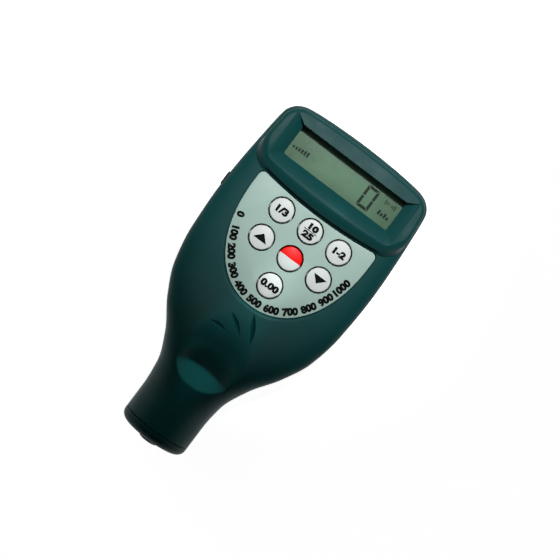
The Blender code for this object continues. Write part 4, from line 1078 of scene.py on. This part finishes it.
def row_tree(name, finish):
    """Geometry Nodes: a bar repeated in an even row along Y."""
    tree = bpy.data.node_groups.new(name, "GeometryNodeTree")
    face = tree.interface
    face.new_socket("Geometry", in_out="INPUT", socket_type="NodeSocketGeometry")
    for label, kind in (("Count", "NodeSocketInt"), ("Pitch", "NodeSocketFloat")):
        face.new_socket(label, in_out="INPUT", socket_type=kind)
    face.new_socket("Geometry", in_out="OUTPUT", socket_type="NodeSocketGeometry")
    nodes = tree.nodes
    start, end = nodes.new("NodeGroupInput"), nodes.new("NodeGroupOutput")
    step = nodes.new("ShaderNodeCombineXYZ")
    row = nodes.new("GeometryNodeMeshLine")
    put = nodes.new("GeometryNodeInstanceOnPoints")
    real = nodes.new("GeometryNodeRealizeInstances")
    paint = nodes.new("GeometryNodeSetMaterial")
    paint.inputs["Material"].default_value = finish
    for source, out, into, socket in (
        (start, "Pitch", step, "Y"),
        (start, "Count", row, "Count"),
        (step, "Vector", row, "Offset"),
        (row, "Mesh", put, "Points"),
        (start, "Geometry", put, "Instance"),
        (put, "Instances", real, "Geometry"),
        (real, "Geometry", paint, "Geometry"),
        (paint, "Geometry", end, "Geometry"),
    ):
        tree.links.new(source.outputs[out], into.inputs[socket])
    return tree


def with_tree(piece, tree, **values):
    """Runs a tree on a piece, with its named inputs, and keeps the result as a plain mesh."""
    step = piece.modifiers.new(tree.name, "NODES")
    step.node_group = tree
    for item in tree.interface.items_tree:
        if item.item_type == "SOCKET" and item.in_out == "INPUT" and item.name in values:
            step[item.identifier] = values[item.name]
    mesh = evaluated(piece)
    piece.modifiers.clear()
    piece.data = mesh
    return piece


def battery_door():
    """The rear form clipped to the door's plan, with a row of thumb grooves."""
    door = outer_form("sliding_door", -1, housing)
    plan = lengthways("door_plan", door_profile(0.0, -REACH), DOOR_LOW, DISPLAY_END + REACH)
    boolean(door, plan, "INTERSECT")
    first = DISPLAY_END - THUMB_SET - (THUMB_COUNT - 1) * THUMB_PITCH
    bar = [(first + THUMB_HALF * cosine, THUMB_DEPTH * sine) for cosine, sine in arc(8, 0, 180)]
    bar += [(bar[-1][0], -WALL), (bar[0][0], -WALL)]
    groove = across_wall("thumb_groove", bar, -THUMB_REACH, THUMB_REACH, housing)
    tree = row_tree("thumb_grooves", housing)
    cut(door, with_tree(groove, tree, Count=THUMB_COUNT, Pitch=THUMB_PITCH))
    dressed(settled(door), "battery_door", "housing_green", "battery_door")


# Faceplate and key caps


def keypad_faceplate():
    plate = prism("faceplate", faceplate_outline(0.0), PLATE_Z, PLATE_TOP_Z, film, 0.00012)
    cut(plate, key_holes("faceplate_holes", RECESS_Z, CREST_Z))
    dressed(settled(plate), "housing", "faceplate_grey", "keypad_faceplate")


def key_caps():
    """Caps with a flange under the panel, a rounded edge and a low dome."""
    wide = KEY_RADIUS + KEY_FLANGE
    under, over = KEY_FLANGE_Z
    shoulder = KEY_TOP_Z - KEY_CROWN - KEY_EDGE
    for name, (x, y) in key_places().items():
        profile = [(0.0, KEY_FOOT_Z), (KEY_STEM, KEY_FOOT_Z), (KEY_STEM, under), (wide, under)]
        profile += [(wide, over), (KEY_RADIUS, over), (KEY_RADIUS, shoulder)]
        for angle in (15, 30, 45, 60, 75, 88):
            turn = math.radians(angle)
            radius = KEY_RADIUS - KEY_EDGE * (1 - math.cos(turn))
            profile.append((radius, shoulder + KEY_EDGE * math.sin(turn)))
        for k in range(1, 9):
            share = 1 - k / 8
            profile.append(((KEY_RADIUS - KEY_EDGE) * share, KEY_TOP_Z - KEY_CROWN * share**2))
        finish = power_key_finish((x, y)) if name == "power" else key_plastic
        cap = turned(f"cap_{name}", profile, (x, y, 0.0), finish=finish)
        dressed(cap, f"key_{name}", "key_white", f"key_{name}")


# Printing, and painted shade round the keys


def flat_print(name, outlines, top, finish):
    """Flat shapes as thin ink on a level."""
    marks = [prism("mark", outline, top - PRINT, top + PRINT) for outline in outlines]
    return joined(name, marks, finish)


def figures(text, height, weight, finish, wide=1.0):
    """Plain figures as an upright mesh about its own middle, in the plane of the face."""
    words = bpy.data.curves.new("figures", "FONT")
    words.body = text
    words.align_x = "CENTER"
    words.size = height / 0.70
    words.offset = weight
    words.extrude = PRINT
    words.resolution_u = 6
    made = linked("figures", words)
    mesh = evaluated(made)
    bpy.data.objects.remove(made)
    mesh.transform(Matrix.Diagonal((wide, 1, 1, 1)) @ Matrix.Translation((0, -height / 2, 0)))
    mesh.materials.clear()
    mesh.materials.append(finish)
    return linked("figures", mesh)


def set_down(piece, x, y, z, turn=0.0):
    piece.data.transform(Matrix.Translation((x, y, z)) @ Matrix.Rotation(turn, 4, "Z"))
    return piece


def on_path(points, share):
    """The place and the direction at a share of the way along the points."""
    runs = [0.0]
    for a, b in zip(points, points[1:]):
        runs.append(runs[-1] + (b - a).length)
    at = share * runs[-1]
    i = max(k for k in range(len(points) - 1) if runs[k] <= at)
    part = (at - runs[i]) / (runs[i + 1] - runs[i])
    return points[i].lerp(points[i + 1], part), (points[i + 1] - points[i]).normalized()


def dial_figures():
    """A plain scale of numbers that follows the shield's belly."""
    path = [Vector(point) for point in belly(-DIAL_INSET, 400)]
    first, last = DIAL_ENDS
    made = []
    for k in range(11):
        place, way = on_path(path, first + (last - first) * k / 10)
        number = figures(str(100 * k), DIAL_HEIGHT, DIAL_WEIGHT, ink_and_ring_shade, 1.06)
        made.append(set_down(number, *place, 0.0, math.atan2(way.y, way.x)))
    scale = joined("dial_figures", made, ink_and_ring_shade)
    scale.data.transform(Matrix.Translation((0, 0, PLATE_TOP_Z)))
    dressed(scale, "housing", "black_plastic")


def key_print_and_ring_shade():
    """Plain numbers and arrows on the keys, and round each key a dark ring on the plate that is
    painted shade, widening the dark gap round the key.
    """
    places = key_places()
    top = KEY_TOP_Z - PRINT
    for name, text, height in KEY_NUMBERS:
        mark = set_down(figures(text, height, KEY_WEIGHT, ink_and_ring_shade, 1.30), *places[name], top)
        mark.name = f"figures_{name}"
        dressed(mark, f"key_{name}", "black_plastic")
    x, y = places["units"]
    half_x, half_y = UNITS_BAR
    parts = []
    for text, side in (("10", 1), ("25", -1)):
        number = figures(text, UNITS_HEIGHT, KEY_WEIGHT, ink_and_ring_shade, 1.4)
        parts.append(set_down(number, x, y + side * UNITS_SET, top))
    bar = box_outline(x - half_x, y - half_y, x + half_x, y + half_y)
    parts.append(flat_print("bar", [bar], top, ink_and_ring_shade))
    dressed(joined("figures_units", parts, ink_and_ring_shade), "key_units", "black_plastic")
    half, foot, tip = ARROW
    for name, side in (("up", 1), ("down", -1)):
        x, y = places[name]
        arrow = [(x - half, y - side * foot), (x + half, y - side * foot), (x, y + side * tip)]
        mark = flat_print(f"arrow_{name}", [arrow[::side]], top, ink_and_ring_shade)
        dressed(mark, f"key_{name}", "black_plastic")
    # Painted shade: a thin dark ring on the plate at the edge of each key's hole, widening the dark
    # of the gap round the key.
    inner, outer = KEY_RADIUS + GAP, KEY_RADIUS + GAP + SHADE_RING_WIDTH
    profile = [(inner, -PRINT), (outer, -PRINT), (outer, PRINT), (inner, PRINT)]
    rings = [turned("ring", profile, (x, y, PLATE_TOP_Z)) for x, y in places.values()]
    dressed(joined("key_ring_shade", rings, ink_and_ring_shade), "housing", "black_plastic")


def display_segments():
    """A seven-segment nought and three small plain marks."""
    x, y = NOUGHT_X, MARK_Y
    half_w, half_h = NOUGHT_HALF
    bar, gap = NOUGHT_BAR, NOUGHT_GAP
    shapes = []
    for side in (-1, 1):
        inner, outer = y + side * (half_h - bar), y + side * half_h
        wide, narrow = half_w - gap, half_w - gap - bar
        ends = (-narrow, inner), (narrow, inner), (wide, outer), (-wide, outer)
        shapes.append([(x + across, level) for across, level in ends])
        for up in (-1, 1):
            near, far = y + up * gap, y + up * (half_h - gap)
            left, right = x + side * half_w, x + side * (half_w - bar)
            shapes.append([(left, near), (left, far), (right, far - up * bar), (right, near)])
    for step, half in WAVES:
        for side in (-1, 1):
            x, y = WAVE_X + side * step, MARK_Y + WAVE_LIFT
            shapes.append(box_outline(x - WAVE_HALF, y - half, x + WAVE_HALF, y + half))
    for first, pitch, wide, lift, heights in BAR_ROWS:
        for k, height in enumerate(heights):
            x, y = first + k * pitch, MARK_Y + lift
            shapes.append(box_outline(x, y, x + wide, y + height))
    marks = flat_print("display_marks", shapes, LCD_TOP_Z + MARK_GAP, lcd_ink)
    dressed(marks, "housing", "black_plastic")


# Nose and probe


def nose_cap():
    front = NOSE_END + 0.0020
    outside = NECK_RADIUS
    guide = 0.0040
    spigot = NECK_RADIUS - WALL - GAP
    fillet = 0.0027
    lip = 0.0004
    profile = [(guide, front + lip)]
    for _, sine in arc(2, 30, 90):
        profile.append((guide + lip * sine, front + 0.6 * lip * (1 - sine)))
    for cosine, sine in arc(10):
        profile.append((outside - fillet * (1 - sine), front + fillet * (1 - cosine)))
    rear = CAP_REAR
    profile += [
        (outside, rear - 0.0002),
        (outside - 0.0002, rear),
        (spigot, rear),
        (spigot, rear + 0.0010),
        (spigot - 0.0016, rear + 0.0010),
        (spigot - 0.0016, front + fillet),
        (guide + 0.0016, front + 0.0016),
        (guide + 0.0016, rear + 0.0010),
        (guide, rear + 0.0010),
    ]
    cap = turned("end_cap", profile, (0, 0, AXIS_Z), "Y", 128, cap_moulding)
    dressed(cap, "housing", "housing_green", "nose_cap")


def probe_sleeve():
    radius = 0.0037
    inside = radius - 0.0010
    collar = 0.0050
    collar_y = CAP_REAR + 0.0010 + GAP
    rear = NOSE_END + 0.0160
    bevel = 0.0005
    profile = [
        (inside + bevel / 2, NOSE_END),
        (radius - bevel, NOSE_END),
        (radius - bevel * 0.3, NOSE_END + bevel * 0.3),
        (radius, NOSE_END + bevel),
        (radius, collar_y),
        (collar, collar_y),
        (collar, collar_y + 0.0008),
        (radius, collar_y + 0.0008),
        (radius, rear),
        (0.0010, rear),
        (0.0010, rear - 0.0010),
        (inside, rear - 0.0010),
        (inside, NOSE_END + bevel),
    ]
    sleeve = turned("sleeve", profile, (0, 0, AXIS_Z), "Y", 72, dark_plastic)
    deep, half = 0.001, 0.002
    y, z = NOSE_END, AXIS_Z
    notch = [(y - deep, z - half), (y + deep, z), (y - deep, z + half)]
    cut(sleeve, across_wall("notch_cut", notch, -2 * radius, 2 * radius))
    dressed(settled(sleeve), "probe", "black_plastic", "probe_sleeve")


def return_spring():
    """The probe's return spring at rest, its coils closer together towards both ends."""
    low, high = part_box("probe_spring")
    wire = 0.00025
    radius = (high[0] - low[0]) / 2 - wire
    first, last = low[1] + wire, high[1] - wire
    turns, per_turn = 3, 40
    count = turns * per_turn
    rings = []
    for k in range(count + 1):
        angle = math.tau * k / per_turn
        outwards = Vector((math.cos(angle), 0.0, math.sin(angle)))
        y = first + (last - first) * smooth_step(k / count)
        loop = circle(radius, y, wire, 12)
        rings.append([(outwards.x * r, along, AXIS_Z + outwards.z * r) for r, along in loop])
    spring = loft("spring", rings, steel)
    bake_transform(spring)
    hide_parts("probe_spring")


def port_cover():
    face = -half_width(PORT_Y) - PORT_PROUD
    rings = []
    for inwards, depth in ((0.0003, 0.0), (0.0001, 0.0001), (0.0, 0.0003), (0.0, PORT_DEPTH)):
        rings.append([(face + depth, y, z) for y, z in port_outline(-inwards)])
    cover = loft("port_plug", rings, rubber)
    dressed(cover, "housing", "black_rubber", "port_cover")


# Inside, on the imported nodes


def inner_finishes():
    groups = {
        board: ("main_board",),
        dark_plastic: ("microcontroller", "data_jack", "lcd_frame", "switch_"),
        pale_plastic: ("probe_connector", "plunger_", "probe_bobbin"),
        rubber: ("zebra_", "probe_lead"),
        wrap: ("battery_1", "battery_2", "battery_3", "battery_4"),
        nickel: ("contact_", "probe_core"),
        steel: ("case_screw", "board_screw", "probe_tip"),
        brass: ("probe_barrel",),
        copper: ("probe_coil",),
        glass: ("lcd_panel",),
        lens: ("display_window",),
    }
    for name, node in frame["nodes"].items():
        for finish, starts in groups.items():
            if any(name.startswith(start) for start in starts):
                node.data.materials.clear()
                node.data.materials.append(finish)


# Floor, light and camera

FLOOR_FLAT = 1.3
FLOOR_BEND = 0.3
FLOOR_WALL_Z = 0.75
FLOOR_GLOW = 0.955
VIEW_DISTANCE = 0.370
VIEW_ROLL = math.radians(36.95)
VIEW_YAW = math.radians(2.5)
# The picture's side in pixels, its pixels to a metre, and the pixel over the middle of the body
PICTURE = 560
PIXELS_PER_METRE = 2889
MIDDLE_PIXEL = (256.4, 294.4)


def floor_finish():
    """A white floor: it shows white to the eye and in reflections, and keeps the shadow."""
    made = Finish("floor_paper", 0.9, specular=0.0)
    grain = made.noise(40.0, 3.0)
    made.colour(made.between(grain, tone(226, 226, 226), tone(232, 232, 232)))
    path = made.nodes.new("ShaderNodeLightPath")
    seen = made.maths("MAXIMUM", path.outputs["Is Camera Ray"], path.outputs["Is Glossy Ray"])
    seen = made.maths("MAXIMUM", seen, path.outputs["Is Transmission Ray"])
    made.feed(made.shader.inputs["Emission Color"], (1.0, 1.0, 1.0, 1.0))
    made.feed(made.shader.inputs["Emission Strength"], made.maths("MULTIPLY", seen, FLOOR_GLOW))
    return made.material


def stage():
    """A wide floor that rises to a low wall all round."""
    profile = [(0.0, 0.0), (FLOOR_FLAT / 3, 0.0)]
    for cosine, sine in arc(12):
        profile.append((FLOOR_FLAT + FLOOR_BEND * sine, FLOOR_BEND * (1 - cosine)))
    profile.append((FLOOR_FLAT + FLOOR_BEND, FLOOR_WALL_Z))
    bm = bmesh.new()
    rows = []
    for radius, z in profile:
        points = circle(0.0, 0.0, radius, 96 if radius else 1)
        rows.append([bm.verts.new((x, y, z)) for x, y in points])
    for near, far in zip(rows, rows[1:]):
        band(bm, far, near)
    mesh = bpy.data.meshes.new("floor")
    bm.to_mesh(mesh)
    bm.free()
    mesh.shade_smooth()
    mesh.materials.append(floor_finish())
    linked("floor", mesh)


def aimed(name, light, place, target):
    """A lamp at a place, turned to its target."""
    lamp = linked(name, light)
    lamp.location = place
    lamp.rotation_euler = (Vector(target) - Vector(place)).to_track_quat("-Z", "Y").to_euler()
    return lamp


def spot(name, energy, cone, blend, radius, place, target):
    light = bpy.data.lights.new(name, "SPOT")
    light.energy = energy
    light.spot_size = math.radians(cone)
    light.spot_blend = blend
    light.shadow_soft_size = radius
    lamp = aimed(name, light, place, target)
    lamp.visible_camera = False
    return lamp


def lamps():
    """A soft lamp over the head, a low one that rakes the neck from the display end, and a fill."""
    spot("head_lamp", 7.3, 15.8, 0.75, 0.018, (-0.012, 0.194, 0.430), (0.0, 0.040, 0.02))
    rake = spot("rake_lamp", 0.9, 10.5, 1.0, 0.004, (0.008, 0.118, 0.047), (0.001, -0.024, 0.0235))
    rake.visible_glossy = False
    fill = bpy.data.lights.new("fill_lamp", "AREA")
    fill.energy = 0.10
    fill.size = 0.30
    aimed("fill_lamp", fill, (-0.40, 0.05, 0.25), (0.0, 0.0, 0.01))


def world():
    made = bpy.data.worlds.new("studio")
    made.use_nodes = True
    back = made.node_tree.nodes["Background"]
    back.inputs["Color"].default_value = (0.97, 1.0, 1.0, 1.0)
    back.inputs["Strength"].default_value = 0.04
    bpy.context.scene.world = made


def camera():
    """Looks down at the face, turned as the photograph is."""
    right = Vector((math.cos(VIEW_ROLL), math.sin(VIEW_ROLL), 0))
    up = Vector((-math.sin(VIEW_ROLL), math.cos(VIEW_ROLL), 0))
    off_x, off_y = [(PICTURE / 2 - pixel) / PIXELS_PER_METRE for pixel in MIDDLE_PIXEL]
    target = right * off_x - up * off_y
    target.z = AXIS_Z
    back = Vector((-math.sin(VIEW_YAW), 0.0, math.cos(VIEW_YAW)))
    side = up.cross(back).normalized()
    turn = Matrix((side, back.cross(side).normalized(), back)).transposed().to_4x4()
    turn.translation = target + back * VIEW_DISTANCE
    eye = bpy.data.cameras.new("camera")
    eye.sensor_width = 36
    eye.lens = eye.sensor_width * VIEW_DISTANCE * PIXELS_PER_METRE / PICTURE
    made = linked("camera", eye)
    made.matrix_world = turn
    bpy.context.scene.camera = made


front_case()
rear_case()
battery_door()
keypad_faceplate()
key_caps()
dial_figures()
key_print_and_ring_shade()
display_segments()
nose_cap()
probe_sleeve()
return_spring()
port_cover()
inner_finishes()
stage()
lamps()
world()
camera()
bpy.context.scene.view_settings.view_transform = "Standard"
